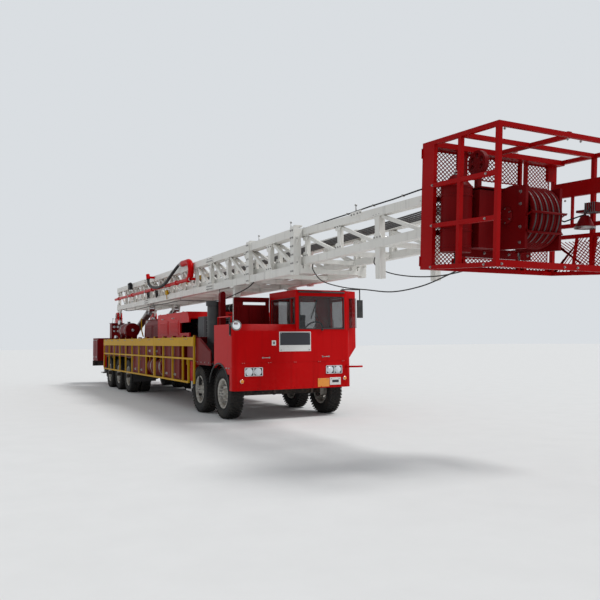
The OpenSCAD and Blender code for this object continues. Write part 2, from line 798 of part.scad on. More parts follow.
module intake() {
  z = plate_z1;
  color(black)
    translate([x_at(2030), -intake_y, 0]) {
      translate([0, 0, z + 390]) cylinder(r = 160, h = 820);
      translate([0, 0, z + 1210]) cylinder(r = 190, h = 90);
    }
  color(black) block(1830, 2240, -intake_y - 250, -intake_y + 210, z, z + 390);
}

module drawworks() {
  color(dark_red)
    both()
      difference() {
        across(520, 560)
          polygon([[x_at(drum_s - drum_foot), deck_z], [x_at(drum_s - drum_foot + 100), deck_z + 600],
            [x_at(drum_s + drum_foot - 100), deck_z + 600], [x_at(drum_s + drum_foot), deck_z]]);
        shaft(drum_s, 500, 600, drum_z, 120 + 2 * fit);
        for (e = [-480, 480]) shaft(drum_s + e, 500, 600, drum_z - 40, 220);
        for (e = [-260, 260]) shaft(drum_s + e, 500, 600, drum_z + 140, 90);
      }
  // chain case on the left-hand end of the drum's shaft
  color(dark_red)
    difference() {
      across(560, 700) {
        translate([x_at(drum_s), drum_z]) circle(r = 250);
        translate([x_at(drum_s - 760), drum_z - 60]) circle(r = 190);
        polygon([[x_at(drum_s) + 30, drum_z + 248], [x_at(drum_s - 760), drum_z + 130], [x_at(drum_s - 760), drum_z - 250],
          [x_at(drum_s) + 30, drum_z - 248]]);
        translate([x_at(drum_s) - 120, deck_z]) square([240, 200]);
      }
      shaft(drum_s, 550, 640, drum_z, 120 + 2 * fit);
    }
}

module drum() {
  color(grey) {
    shaft(drum_s, -700, 630, drum_z, 120);
    shaft(drum_s, -500, 500, drum_z, 380);
    for (y = [-500, 470]) shaft(drum_s, y, y + 30, drum_z, 640);
    // clutch on the shaft's right-hand end
    shaft(drum_s, -680, -590, drum_z, 420);
  }
}

// Mast base: two A-frames with the pivot pins

lug_y = mast_w / 2 - chord / 2;
lug_t = 60;
pin_d = 100;

module mast_base() {
  color(red)
    both() {
      for (y = [lug_y - lug_t / 2 - 50, lug_y + lug_t / 2 + 10])
        across(y, y + 40)
          polygon([[x_at(pivot_s) - 160, pivot_z + 130], [x_at(pivot_s) + 160, pivot_z + 130],
            [x_at(pivot_s) + 520, rail_top + 60], [x_at(pivot_s) + 260, rail_top + 60],
            [x_at(pivot_s), pivot_z - 400], [x_at(pivot_s) - 260, rail_top + 60], [x_at(pivot_s) - 520, rail_top + 60]]);
      shaft(pivot_s, lug_y - lug_t / 2 - 50, lug_y + lug_t / 2 + 50, pivot_z, pin_d);
      block(pivot_s - 520, pivot_s + 520, frame_w / 2 - 90, lug_y + lug_t / 2 + 50, rail_top, rail_top + 60);
      // brackets and pins of the raising cylinders' feet
      for (y = [cyl_y - 90, cyl_y + 55])
        across(y, y + 35)
          polygon([[x_at(cyl_foot_s) - 200, deck_z], [x_at(cyl_foot_s) - 70, cyl_foot_z + 70],
            [x_at(cyl_foot_s) + 70, cyl_foot_z + 70], [x_at(cyl_foot_s) + 200, deck_z]]);
      shaft(cyl_foot_s, cyl_y - 90, cyl_y + 90, cyl_foot_z, 70);
    }
}

// Levelling jacks

jack_w = 180;
jack_y = 1060;
jack_s = [hand_s0 + 780, pivot_s + 160];

module jack_housing(s) {
  difference() {
    block(s - jack_w / 2, s + jack_w / 2, jack_y - jack_w / 2, jack_y + jack_w / 2, 640, 1560);
    block(s - jack_w / 2 + 15, s + jack_w / 2 - 15, jack_y - jack_w / 2 + 15, jack_y + jack_w / 2 - 15, 630, 1500);
  }
  block(s - 60, s + 60, frame_w / 2, jack_y - jack_w / 2, 800, 1000);
}

module jack_housings() {
  color(red)
    both() for (s = jack_s) jack_housing(s);
}

module jack(i, side) {
  s = jack_s[i];
  color(grey)
    mirror([0, side < 0 ? 1 : 0, 0]) {
      block(s - 74.5, s + 74.5, jack_y - 74.5, jack_y + 74.5, 460, 1450);
      block(s - 200, s + 200, jack_y - 150, jack_y + 150, 420, 460);
    }
}

// Fold-down handrails

hinge_z = deck_z + 25;
hinge_y = half_w + 30;
post = 40;
post_pitch = 854;
eye_r = 18;
rail_pin_r = 10;
lug_half = 12;
board_h = 200;
board_gap = 26;

// The front handrails' bottom rail starts here, behind the turned wheel
front_low_s = axle_2 + tyre_d / 2 - 50;

function post_count(s0, s1) = round((s1 - s0) / post_pitch);
function post_s(s0, s1, i) = s0 + i * (s1 - s0 - post) / post_count(s0, s1);

module handrail(s0, s1, low_s, side) {
  n = post_count(s0, s1);
  color(yellow)
    mirror([0, side < 0 ? 1 : 0, 0])
      difference() {
        union() {
          for (i = [0:n]) {
            s = post_s(s0, s1, i);
            block(s, s + post, hinge_y - post / 2, hinge_y + post / 2, hinge_z - hand_h, hinge_z - board_gap);
            block(s, s + post, hinge_y - eye_r + 2, hinge_y + eye_r - 2, hinge_z - board_gap, hinge_z);
            bar([s + post, hinge_y, hinge_z], [s, hinge_y, hinge_z], 2 * eye_r);
          }
          block(s0, s1, hinge_y - post / 2, hinge_y + post / 2, hinge_z - hand_h / 2, hinge_z - hand_h / 2 + post);
          block(low_s, s1, hinge_y - post / 2, hinge_y + post / 2, hinge_z - hand_h, hinge_z - hand_h + post);
          block(low_s, low_s + post, hinge_y - post / 2, hinge_y + post / 2, hinge_z - hand_h, hinge_z - hand_h / 2);
          block(s0, s1, hinge_y - post / 2 + 5, hinge_y + post / 2 + 5, hinge_z - board_gap - board_h,
            hinge_z - board_gap);
        }
        bar([s1 + 50, hinge_y, hinge_z], [s0 - 50, hinge_y, hinge_z], 2 * (rail_pin_r + fit));
      }
}

// The deck's lugs and pins that carry one handrail
module rail_lugs(s0, s1) {
  for (i = [0 : post_count(s0, s1)]) {
    s = post_s(s0, s1, i);
    e = i == 0 ? 1 : -1;
    l0 = e > 0 ? s + post + 2 : s - 32;
    block(l0, l0 + 30, half_w - 40, half_w, deck_z, hinge_z + lug_half);
    block(l0, l0 + 30, half_w, hinge_y + lug_half, hinge_z - lug_half, hinge_z + lug_half);
    bar([e > 0 ? l0 + 15 : s + post, hinge_y, hinge_z], [e > 0 ? s : l0 + 15, hinge_y, hinge_z], 2 * rail_pin_r);
  }
}

// Raising cylinders

cyl_y = 400;
eye_w = 150;
cyl_foot_s = pivot_s - 1300;
cyl_foot_z = pivot_z - 700;
cyl_head_s = pivot_s - 3800;
cyl_head_z = pivot_z + 100;
cyl_len = norm3([cyl_foot_s - cyl_head_s, 0, cyl_head_z - cyl_foot_z]);
cyl_tilt = atan2(cyl_head_z - cyl_foot_z, cyl_foot_s - cyl_head_s);
// Bottoms of the barrel's tube, the stage and the rod, from the foot's pin
barrel_in = 120;
stage_in = 180;
rod_in = 240;
// Distance from the rod's eye back to the barrel's mouth
mouth_in = 300;
barrel_d = 220;
stage_d = 180;
rod_d = 130;
slide = 0.6;

module cylinder_frame() {
  both()
    translate([x_at(cyl_foot_s), cyl_y, cyl_foot_z])
      rotate([0, 90 - cyl_tilt, 0]) children();
}

module raise_barrels() {
  color(grey)
    cylinder_frame()
      difference() {
        union() {
          translate([0, 0, barrel_in]) cylinder(d = barrel_d, h = cyl_len - mouth_in - barrel_in);
          rotate([90, 0, 0]) cylinder(d = 180, h = 100, center = true);
          translate([-60, -50, 0]) cube([120, 100, 130]);
        }
        translate([0, 0, barrel_in + 40]) cylinder(d = stage_d, h = cyl_len);
        rotate([90, 0, 0]) cylinder(d = 70 + 2 * fit, h = 200, center = true);
      }
}

module raise_stages() {
  color(grey)
    cylinder_frame()
      difference() {
        translate([0, 0, stage_in]) cylinder(d = stage_d - slide, h = cyl_len - mouth_in + 60 - stage_in);
        translate([0, 0, stage_in + 40]) cylinder(d = rod_d, h = cyl_len);
      }
}

module raise_rods() {
  color(grey)
    cylinder_frame() {
      translate([0, 0, rod_in]) cylinder(d = rod_d - slide, h = cyl_len - rod_in - 60);
      translate([0, 0, cyl_len])
        rotate([90, 0, 0]) cylinder(d = 160, h = eye_w, center = true);
    }
}

// Lower mast section

lower_s0 = -lower_reach;
lower_s1 = pivot_s - 100;
bay = (lower_s1 - lower_s0 - strut) / lower_bays;

collar_s = [lower_s0 + 70, 630];
lug_gap = eye_w / 2 + 5;
mast_y0 = mast_w / 2 - chord;

// Two side trusses with the pivot lugs and the collar plates
module mast_lower() {
  z1 = mast_z + mast_d;
  mid = chord / 2;
  color(white)
    both() {
      block(lower_s0, lower_s1, mast_y0, mast_y0 + chord, mast_z, mast_z + chord);
      block(lower_s0, lower_s1, mast_y0, mast_y0 + chord, z1 - chord, z1);
      for (i = [0:lower_bays])
        block(lower_s0 + i * bay, lower_s0 + i * bay + strut, mast_y0 + mid - strut / 2, mast_y0 + mid + strut / 2,
          mast_z + mid, z1 - mid);
      for (i = [0:lower_bays - 1])
        beam([lower_s0 + i * bay + strut / 2, mast_y0 + mid, mast_z + mid],
          [lower_s0 + (i + 1) * bay + strut / 2, mast_y0 + mid, z1 - mid], 60, 60);
      for (s = collar_s)
        block(s - 70, s + 70, mast_y0 + mid, mast_w / 2 + 25, mast_z - 30, z1 + 30);
      difference() {
        across(lug_y - lug_t / 2, lug_y + lug_t / 2)
          polygon([[x_at(pivot_s) - 110, pivot_z], [x_at(pivot_s) - 110, mast_z + mid], [x_at(pivot_s) + 500, mast_z + mid],
            [x_at(pivot_s) + 110, pivot_z - 60], [x_at(pivot_s), pivot_z - 110]]);
        shaft(pivot_s, 0, 1000, pivot_z, pin_d + 2 * fit);
      }
    }
}

// Cross members between the side trusses, with the cylinders' lugs and the upper section's guide pads
module lower_ties() {
  color(white) {
    for (i = [0:lower_bays])
      block(lower_s0 + i * bay, lower_s0 + i * bay + strut, -mast_y0, mast_y0, mast_z + 10, mast_z + 10 + 80);
    block(cyl_head_s - 180, cyl_head_s + 180, -mast_y0, mast_y0, mast_z + 30, mast_z + 110);
    both() {
      for (y = [cyl_y - lug_gap - 30, cyl_y + lug_gap])
        across(y, y + 30)
          polygon([[x_at(cyl_head_s) - 180, mast_z + 60], [x_at(cyl_head_s) + 180, mast_z + 60],
            [x_at(cyl_head_s) + 80, cyl_head_z - 80], [x_at(cyl_head_s) - 80, cyl_head_z - 80]]);
      for (i = [0 : 4 : lower_bays])
        block(lower_s0 + i * bay, lower_s0 + i * bay + strut, upper_y - top_chord, upper_y - 10, mast_z + 90,
          upper_z0 - 0.3);
    }
  }
}

pipe_d = 90;
goose_d = 150;
goose_r = 225;
pipe_s0 = 4400;

goose_s = 4850;
coupling_l = 150;
pipe_y = -mast_w / 2 - 90;
pipe_z = mast_z + 380;
goose_z = pipe_z + 2 * goose_r;
hose_d = 80;
coupling_d = 112;
hose_s0 = goose_s + coupling_l;
hose_s1 = 8050;
hose_y1 = -905;
hose_z1 = 3420;
// The hose's last two points
hose_before = [hose_s1 - 60, hose_y1, hose_z1 - 140];
hose_end = [hose_s1, hose_y1, hose_z1];
function unit(v) = v / norm3(v);

module standpipe() {
  strut_face = -(mast_w / 2 - chord / 2 + strut / 2);
  color(red) {
    bar([13200, pipe_y, pipe_z], [pipe_s0, pipe_y, pipe_z], pipe_d);
    translate([x_at(pipe_s0), pipe_y, pipe_z + goose_r]) rotate([90, 0, 0]) rotate([0, 0, -90])
      rotate_extrude(angle = 180, $fn = 48) translate([goose_r, 0]) circle(d = goose_d);
    bar([goose_s, pipe_y, goose_z], [pipe_s0, pipe_y, goose_z], goose_d);
    bar([hose_s0, pipe_y, goose_z], [goose_s, pipe_y, goose_z], coupling_d);
    for (i = [5 : 2 : lower_bays - 1])
      block(lower_s0 + i * bay + 10, lower_s0 + i * bay + strut - 10, pipe_y, strut_face, pipe_z - 30, pipe_z + 30);
    // coupling in line with the hose's far end, on a bracket from the mast's chord
    bar(hose_end, hose_end + coupling_l * unit(hose_end - hose_before), coupling_d);
    block(hose_s1 - 50, hose_s1 + 50, hose_y1 + 20, -mast_w / 2, hose_z1 + 20, hose_z1 + 80);
  }
}

// Flexible lines: a tube of flat facets, swept along a smooth curve through points given as [s, y, z]

function curve_at(a, b, c, d, t) =
  0.5 * (2 * b + (c - a) * t + (2 * a - 5 * b + 4 * c - d) * t * t + (3 * b - a - 3 * c + d) * t * t * t);
function smooth(p, steps) = concat(
  [for (i = [0 : len(p) - 2], k = [0 : steps - 1])
    curve_at(p[max(i - 1, 0)], p[i], p[i + 1], p[min(i + 2, len(p) - 1)], k / steps)],
  [p[len(p) - 1]]);

module flexible(route, steps, d, sides) {
  c = [for (q = route) [x_at(q[0]), q[1], q[2]]];
  p = smooth(c, steps);
  n = len(p);
  m = len(c);
  dir = [for (i = [0 : n - 1])
    i == 0 ? unit(c[1] - c[0]) : i == n - 1 ? unit(c[m - 1] - c[m - 2]) : unit(p[i + 1] - p[i - 1])];
  u = [for (v = dir) unit(cross(v, [0, 1, 0]))];
  rings = [for (i = [0 : n - 1], k = [0 : sides - 1])
    p[i] + d / 2 * (cos(k * 360 / sides) * u[i] + sin(k * 360 / sides) * cross(dir[i], u[i]))];
  walls = [for (i = [0 : n - 2], k = [0 : sides - 1])
    [i * sides + k, (i + 1) * sides + k, (i + 1) * sides + (k + 1) % sides, i * sides + (k + 1) % sides]];
  ends = [[for (k = [0 : sides - 1]) k], [for (k = [sides - 1 : -1 : 0]) (n - 1) * sides + k]];
  polyhedron(points = rings, faces = concat(walls, ends), convexity = 4);
}

hose_route = [[hose_s0, pipe_y, goose_z], [5200, pipe_y, goose_z], [5420, -840, 3460], [5680, -900, 3300],
  [6100, hose_y1, 3160], [6700, hose_y1, 3090], [7300, hose_y1, 3110], [7760, hose_y1, 3180], hose_before, hose_end];

module mud_hose() {
  color(black) flexible(hose_route, 3, hose_d, 10);
}

// Upper mast section, nested in the lower one

upper_y = mast_w / 2 - chord - mast_gap;
upper_z0 = mast_z + chord + mast_gap;
upper_z1 = mast_z + mast_d;
upper_s0 = -upper_reach;
upper_s1 = upper_len - upper_reach;
upper_first = 440;
upper_strut = 80;
upper_bay = (upper_len - upper_first - upper_strut) / upper_bays;
leg_z = 2430;
// The platform's double joists, at the middle of the inner one
joist_t = 35;
joist_mid = upper_y - top_chord + joist_t / 2 - 8;

// A point on the crown platform's tilted plane, given as [s, y, z]
function on_plane(x, y, z) = [platform_s - x * cos(platform_tilt) - z * sin(platform_tilt), y,
  platform_z - x * sin(platform_tilt) + z * cos(platform_tilt)];

// Two side trusses whose chord ends carry the crown platform
module mast_upper() {
  mid = top_chord / 2;
  taper_s = -lower_reach - 200;
  y = upper_y - mid;
  z1 = upper_z1 - mid - crown_taper;
  color(white) {
    both() {
      block(upper_s0, upper_s1, upper_y - top_chord, upper_y, upper_z0, upper_z0 + top_chord);
      block(taper_s, upper_s1, upper_y - top_chord, upper_y, upper_z1 - top_chord, upper_z1);
      across(upper_y - top_chord, upper_y)
        polygon([[x_at(taper_s), upper_z1 - top_chord], [x_at(upper_s0), upper_z1 - top_chord - crown_taper],
          [x_at(upper_s0), upper_z1 - crown_taper], [x_at(taper_s), upper_z1]]);
      block(upper_s0, upper_s0 + upper_strut, y - 35, y + 35, upper_z0 + mid, z1);
      for (i = [0:upper_bays]) {
        s = upper_s0 + upper_first + i * upper_bay;
        block(s, s + upper_strut, y - 35, y + 35, upper_z0 + mid, z1);
        if (i < upper_bays)
          beam([s + upper_strut / 2, y, upper_z0 + mid], [s + upper_bay + upper_strut / 2, y, z1], 50, 50);
      }
      // leg and heavy post at the second bay
      s = upper_s0 + upper_first + upper_bay;
      block(s - 20, s + upper_strut + 20, y - 50, y + 50, leg_z, z1);
    }
    // the chords' ends carry the platform's joists
    difference() {
      both() for (z = [upper_z0, upper_z1 - crown_taper - top_chord])
        block(upper_s0 - 200, upper_s0, upper_y - top_chord, upper_y, z, z + top_chord);
      platform_frame() translate([0, -platform_w, -platform_h]) cube([1000, 2 * platform_w, 3 * platform_h]);
    }
  }
}

tie_w = 70;

module upper_ties() {
  y = upper_y - top_chord;
  color(white) {
    block(upper_s0, upper_s0 + tie_w, -y, y, upper_z0 + 20, upper_z0 + 90);
    for (i = [0:upper_bays])
      translate([-i * upper_bay, 0, 0])
        block(upper_s0 + upper_first, upper_s0 + upper_first + tie_w, -y, y, upper_z0 + 20, upper_z0 + 90);
  }
}

tie_z = upper_z0 + 20;
cable_d = 18;
cable_1_s = upper_s0 + upper_first + 3 * upper_bay + tie_w / 2;
cable_2_s = upper_s0 + upper_first + 2 * upper_bay + tie_w / 2;
cable_1_route = [[cable_1_s, -400, tie_z], [cable_1_s, -400, tie_z - 120], [-1900, -400, 2560], [-2600, -400, 2400],
  [-3300, -400, 2310], [-4000, -400, 2230], [-4700, -400, 2260], [-5250, -400, 2360],
  on_plane(-120, -400, guard_t / 2), on_plane(0, -400, guard_t / 2)];
cable_2_route = [[cable_2_s, 150, tie_z], [cable_2_s, 150, tie_z - 120], [-3050, 180, 2620], [-3600, 240, 2510],
  [-4200, 320, 2470], [-4800, 400, 2520], [-5250, 440, 2600], on_plane(-120, joist_mid, 300), on_plane(0, joist_mid, 300)];

module cable(route) {
  color(black) flexible(route, 2, cable_d, 8);
}

// Crown platform, block and sheaves; drawn in the platform's own tilted frame

module platform_frame() {
  translate([x_at(platform_s), 0, platform_z])
    rotate([0, platform_tilt, 0]) children();
}

edge_d = 220;
shelf_d = 180;
shelf_h = 65;
guard_mid = guard_d / 2;

// Plane of the platform: edges, double joists at the mast's chords, deep right-hand edge, shelf and corner plate
module crown_platform() {
  w = platform_w;
  h = platform_h;
  t = guard_t;
  color(red)
    platform_frame() {
      translate([0, -w / 2, 0]) cube([edge_d, t, h]);
      translate([0, w / 2 - t, 0]) cube([t, t, h]);
      translate([0, -w / 2, 0]) cube([t, w, t]);
      translate([0, -w / 2, h - shelf_h]) cube([shelf_d, w, shelf_h]);
      translate([0, w / 2 - 150, h - 260]) cube([t, 150, 260]);
      for (e = [-1, 1], y = [joist_mid, upper_y - joist_t / 2 + 8])
        translate([0, e * y - joist_t / 2, 0]) cube([t, joist_t, h]);
    }
}

// Guard rails on the platform's right and left side
right_rails = [480, 950];
left_rails = [470, 610];
beam_l = 750;

module guard_sides() {
  w = platform_w;
  h = platform_h;
  t = guard_t;
  x1 = guard_d - t;
  color(red)
    platform_frame() {
      for (z = concat([0, h - t], right_rails)) translate([edge_d, -w / 2, z]) cube([x1 - edge_d, t, t]);
      translate([guard_mid, -w / 2, 0]) cube([t, t, h]);
      for (z = concat([0], left_rails)) translate([t, w / 2 - t, z]) cube([x1 - t, t, t]);
      translate([shelf_d, w / 2 - t, h - t]) cube([x1 - shelf_d, t, t]);
      translate([guard_mid, w / 2 - t, 0]) cube([t, t, h]);
      translate([330, w / 2 - t + 10, 610]) cube([30, 30, 420]);
      translate([t, w / 2 - t, 1010]) cube([beam_l, t, 190]);
      for (x = [350, 640]) translate([x, w / 2 - t + 10, 25]) rotate([0, 8, 0]) cube([30, 30, 460]);
    }
}

// Front frame and the bars across the cage's top
module guard_front() {
  w = platform_w;
  h = platform_h;
  t = guard_t;
  x1 = guard_d - t;
  color(red)
    platform_frame() {
      for (y = [-w / 2, w / 2 - t]) translate([x1, y, 0]) cube([t, t, h]);
      translate([x1, -w / 2, 0]) cube([t, w, t + 20]);
      translate([x1, -w / 2, h - t]) cube([t, w, t]);
      translate([guard_mid, -w / 2 + t, h - t]) cube([t, w - 2 * t, t]);
      translate([shelf_d, -t / 2 - 30, h - t]) cube([x1 - shelf_d, t, t]);
      translate([x1 - 40, -t / 2 - 35, h - 5]) cube([60, 60, 25]);
    }
}

sheave_x = 585;
sheave_z = 640;
sheave_w = 50;
sheave_pitch = 90;
cluster_w = sheave_n * sheave_pitch;
beam_y = upper_y + joist_t / 2;
cheek_t = 40;
low_beam = 70;
high_beam = 130;
cheek_x = guard_t + high_beam + seam;
cheek_y = cluster_w / 2 + 20;
can_r = 180;
can_y = -(platform_w / 2 - guard_t - can_r - 10);
can_x = 345;
lamp_x = 760;
bell_y = 800;
small_r = 150;

// Crown beams and cheeks, the guide sheave on its stand, the canister and the floodlight
module crown_block() {
  t = guard_t;
  color(dark_red)
    platform_frame() {
      difference() {
        union() {
          for (e = [-1, 1])
            translate([cheek_x, e * (cheek_y + cheek_t / 2) - cheek_t / 2, 250])
              cube([sheave_x + 290 - cheek_x, cheek_t, 720]);
          translate([cheek_x, -beam_y - 60, 950]) cube([360, beam_y + 60 - cheek_y - cheek_t, 15]);
          // deadline housing beside the sheaves
          translate([cheek_x, -beam_y - 60, 260]) cube([330, beam_y + 60 - cheek_y - cheek_t, 670]);
        }
        translate([sheave_x, 0, sheave_z]) rotate([90, 0, 0]) cylinder(d = 120 + 2 * fit, h = 2000, center = true);
      }
      // beams that carry the cheeks
      translate([t, -beam_y, 180]) cube([low_beam, 2 * beam_y, 110]);
      translate([t, -beam_y, 900]) cube([high_beam, 2 * beam_y, 110]);
      // stand and guide sheave
      translate([310, -545, 965]) cube([60, 60, 230]);
      translate([340, -515, 1270]) rotate([90, 0, 0])
        difference() {
          cylinder(r = small_r, h = 60, center = true);
          for (i = [0:5]) rotate([0, 0, i * 60 + 30]) translate([90, 0, -40]) cylinder(r = 32, h = 80);
        }
      translate([310, -545, 1150]) cube([60, 15, 150]);
    }
  color(red)
    platform_frame() {
      // canister with a domed lid, on two brackets from the platform's plane
      translate([can_x, can_y, 200]) cylinder(r = can_r, h = 760);
      translate([can_x, can_y, 960]) cylinder(r1 = can_r, r2 = 70, h = 130, $fn = 64);
      for (z = [420, 820]) translate([0, can_y - 40, z]) cube([can_x, 80, 60]);
      for (z = [420, 820]) translate([0, -platform_w / 2 + t, z]) cube([t, platform_w / 2 - beam_y - t, 60]);
      // floodlight under an arm from the left-hand beam
      translate([lamp_x, bell_y, 560]) cylinder(r1 = 120, r2 = 45, h = 150, $fn = 48);
      translate([lamp_x, bell_y, 700]) cylinder(d = 30, h = 60);
      translate([guard_mid, bell_y - 20, 750]) cube([lamp_x + 70 - guard_mid, platform_w / 2 - t - bell_y + 20, 30]);
      translate([lamp_x + 60, bell_y - 60, 740]) cube([140, 120, 110]);
    }
}

module crown_sheaves() {
  color(grey)
    platform_frame()
      translate([sheave_x, 0, sheave_z]) rotate([90, 0, 0]) {
        cylinder(d = 120, h = cluster_w + 140, center = true);
        for (i = [0:sheave_n - 1])
          translate([0, 0, (i - (sheave_n - 1) / 2) * sheave_pitch])
            rotate_extrude($fn = 64)
              polygon([[50, -sheave_w / 2], [sheave_d / 2, -sheave_w / 2], [sheave_d / 2 - 35, 0],
                [sheave_d / 2, sheave_w / 2], [50, sheave_w / 2]]);
      }
}

chassis();
axles();
nose();
cab();
cab_glass();
door();
door_glass();
seat();
controls();
lamps();
mirrors();
partition();
mast_rest();
deck();
boxes();
hood();
engine();
intake();
drawworks();
drum();
mast_base();
jack_housings();
knuckle(0, 1);  // knuckle_1l
knuckle(0, -1);  // knuckle_1r
knuckle(1, 1);  // knuckle_2l
knuckle(1, -1);  // knuckle_2r
front_wheel(0, 1);  // wheel_1l
front_wheel(0, -1);  // wheel_1r
front_wheel(1, 1);  // wheel_2l
front_wheel(1, -1);  // wheel_2r
twin_wheel(2, 1);  // wheel_3l
twin_wheel(2, -1);  // wheel_3r
twin_wheel(3, 1);  // wheel_4l
twin_wheel(3, -1);  // wheel_4r
twin_wheel(4, 1);  // wheel_5l
twin_wheel(4, -1);  // wheel_5r
handrail(hand_s0, hand_seam - 10, front_low_s, 1);  // handrail_fl
handrail(hand_s0, hand_seam - 10, front_low_s, -1);  // handrail_fr
handrail(hand_seam + 10, hand_s1, hand_seam + 10, 1);  // handrail_rl
handrail(hand_seam + 10, hand_s1, hand_seam + 10, -1);  // handrail_rr
jack(0, 1);  // jack_fl
jack(0, -1);  // jack_fr
jack(1, 1);  // jack_rl
jack(1, -1);  // jack_rr
raise_barrels();
raise_stages();
raise_rods();
mast_lower();
lower_ties();
standpipe();
mud_hose();
mast_upper();
upper_ties();
cable(cable_1_route);  // cable_1
cable(cable_2_route);  // cable_2
crown_platform();
guard_sides();
guard_front();
crown_block();
crown_sheaves();
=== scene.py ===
"""Workover rig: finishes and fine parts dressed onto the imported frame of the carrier, mast and crown."""

import json
from math import copysign, cos, exp, pi, radians, sin

import bmesh
import bpy
from bpy.props import FloatProperty, FloatVectorProperty, IntProperty, PointerProperty
from mathutils import Euler, Matrix, Vector


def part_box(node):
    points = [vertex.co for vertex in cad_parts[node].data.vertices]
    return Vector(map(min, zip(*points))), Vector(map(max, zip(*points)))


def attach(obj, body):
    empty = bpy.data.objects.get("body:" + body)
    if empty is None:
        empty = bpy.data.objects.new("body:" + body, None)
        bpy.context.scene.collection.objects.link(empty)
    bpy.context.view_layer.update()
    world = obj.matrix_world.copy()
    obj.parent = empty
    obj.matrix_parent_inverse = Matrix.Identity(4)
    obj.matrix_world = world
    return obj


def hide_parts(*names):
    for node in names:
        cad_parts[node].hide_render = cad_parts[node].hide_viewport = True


bl_info = {
    "name": "Workover rig",
    "version": (1, 0, 0),
    "blender": (4, 5, 0),
    "location": "3D View > Sidebar > Workover rig",
    "description": "Dresses the workover rig with tyres, mesh guards, lamps, lines and paint",
    "category": "Object",
}

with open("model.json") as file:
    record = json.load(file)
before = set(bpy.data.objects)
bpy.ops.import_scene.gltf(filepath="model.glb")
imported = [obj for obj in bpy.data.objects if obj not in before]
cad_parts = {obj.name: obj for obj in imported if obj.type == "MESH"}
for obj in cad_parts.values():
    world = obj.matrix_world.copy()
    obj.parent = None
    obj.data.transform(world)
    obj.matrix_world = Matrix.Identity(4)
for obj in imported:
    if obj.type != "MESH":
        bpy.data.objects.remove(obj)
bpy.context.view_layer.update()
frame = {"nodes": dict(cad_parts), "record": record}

# Places are (s, y, z) in metres: s runs back from the nose's face, y to the left, z up
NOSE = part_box("nose")[1].x
RIM_R, TYRE_R, TYRE_W = 0.286, 0.5, 0.285
TRACK, TWIN = 1.1, 0.335
AXLES = (0.79, 2.23, 9.2, 10.6, 12.0)
DECK_TOP = 1.6425
SIDES = (("l", 1), ("r", -1))
AHEAD, BACK, LEFT, UP = (1, 0, 0), (-1, 0, 0), (0, 1, 0), (0, 0, 1)

# The crown platform's own frame: X ahead of its plane, Z up along it
CROWN = Matrix.Translation((NOSE + 5.57, 0, 2.37)) @ Matrix.Rotation(radians(4), 4, "Y")
CROWN_NODES = ("crown_platform", "guard_sides", "guard_front", "crown_block")
SHEAVE_X, SHEAVE_Z, SHEAVE_PITCH = 0.585, 0.64, 0.09

# The first tie of each mast section, and the spacing of the others
UPPER_S = [-5.04 + (17.7 - 0.52) / 15 * i for i in range(16)]
LOWER_S = [-1.5 + (14.8 - 0.09) / 13 * i for i in range(14)]
TIE_Z = 2.902
PIPE_Y, PIPE_Z = -0.81, 3.1

WHITE, YELLOW, RED, DARK = "white_paint", "yellow_paint", "red_paint", "dark_red_paint"
# the crown's finish is the red darkened as painted shade
CROWN_RED_PAINTED_SHADE, CHASSIS, IRON, RIM = "crown_paint", "chassis_black", "engine_iron", "rim_paint"
STEEL, ROPE, CHROME, PLASTIC, RUBBER = "bare_steel", "wire_rope", "lamp_chrome", "black_plastic", "rubber"
CLEAR, AMBER, RED_LENS, MIRROR = "clear_lens", "amber_lens", "red_lens", "mirror_glass"
PLATE, PLATE_BLACK, PLATE_ORANGE = "plate_white", "plate_black", "plate_orange"


def at(s, y, z):
    """A place on the rig."""
    return Vector((NOSE - s, y, z))


def on_crown(x, y, z):
    """A place in the crown platform's frame."""
    return CROWN @ Vector((x, y, z))


def moved(x, y, z):
    return Matrix.Translation((x, y, z))


def fan(first, last, count):
    """Angles from first to last degrees, in count steps."""
    return [radians(first + (last - first) * k / count) for k in range(count + 1)]


def full_round(count, first=0):
    """Angles of a full round, starting at first degrees."""
    return fan(first, first + 360, count)[:-1]


def spread(first, step, count):
    return [first + step * k for k in range(count)]


def circle(s, y, z, radius, angles):
    """Places round a point, in a plane along the rig."""
    return [(s + radius * cos(a), y, z + radius * sin(a)) for a in angles]


# ---------------------------------------------------------------- node graphs


class Wire:
    """A node socket that can be used in sums."""

    def __init__(self, graph, socket):
        self.graph, self.socket = graph, socket

    def maths(self, operation, *values, clamp=False):
        settings = {"operation": operation, "use_clamp": clamp}
        return self.graph.add("ShaderNodeMath", settings, dict(enumerate(values)))

    def __add__(self, other):
        return self.maths("ADD", self, other)

    def __radd__(self, other):
        return self.maths("ADD", other, self)

    def __sub__(self, other):
        return self.maths("SUBTRACT", self, other)

    def __rsub__(self, other):
        return self.maths("SUBTRACT", other, self)

    def __mul__(self, other):
        return self.maths("MULTIPLY", self, other)

    def __rmul__(self, other):
        return self.maths("MULTIPLY", other, self)

    def clamped(self):
        return self.maths("ADD", self, 0, clamp=True)

    def band(self, low, high):
        """0 below low and 1 above high, with a smooth step between."""
        settings = {"interpolation_type": "SMOOTHSTEP"}
        return self.graph.add("ShaderNodeMapRange", settings, {0: self, 1: low, 2: high})


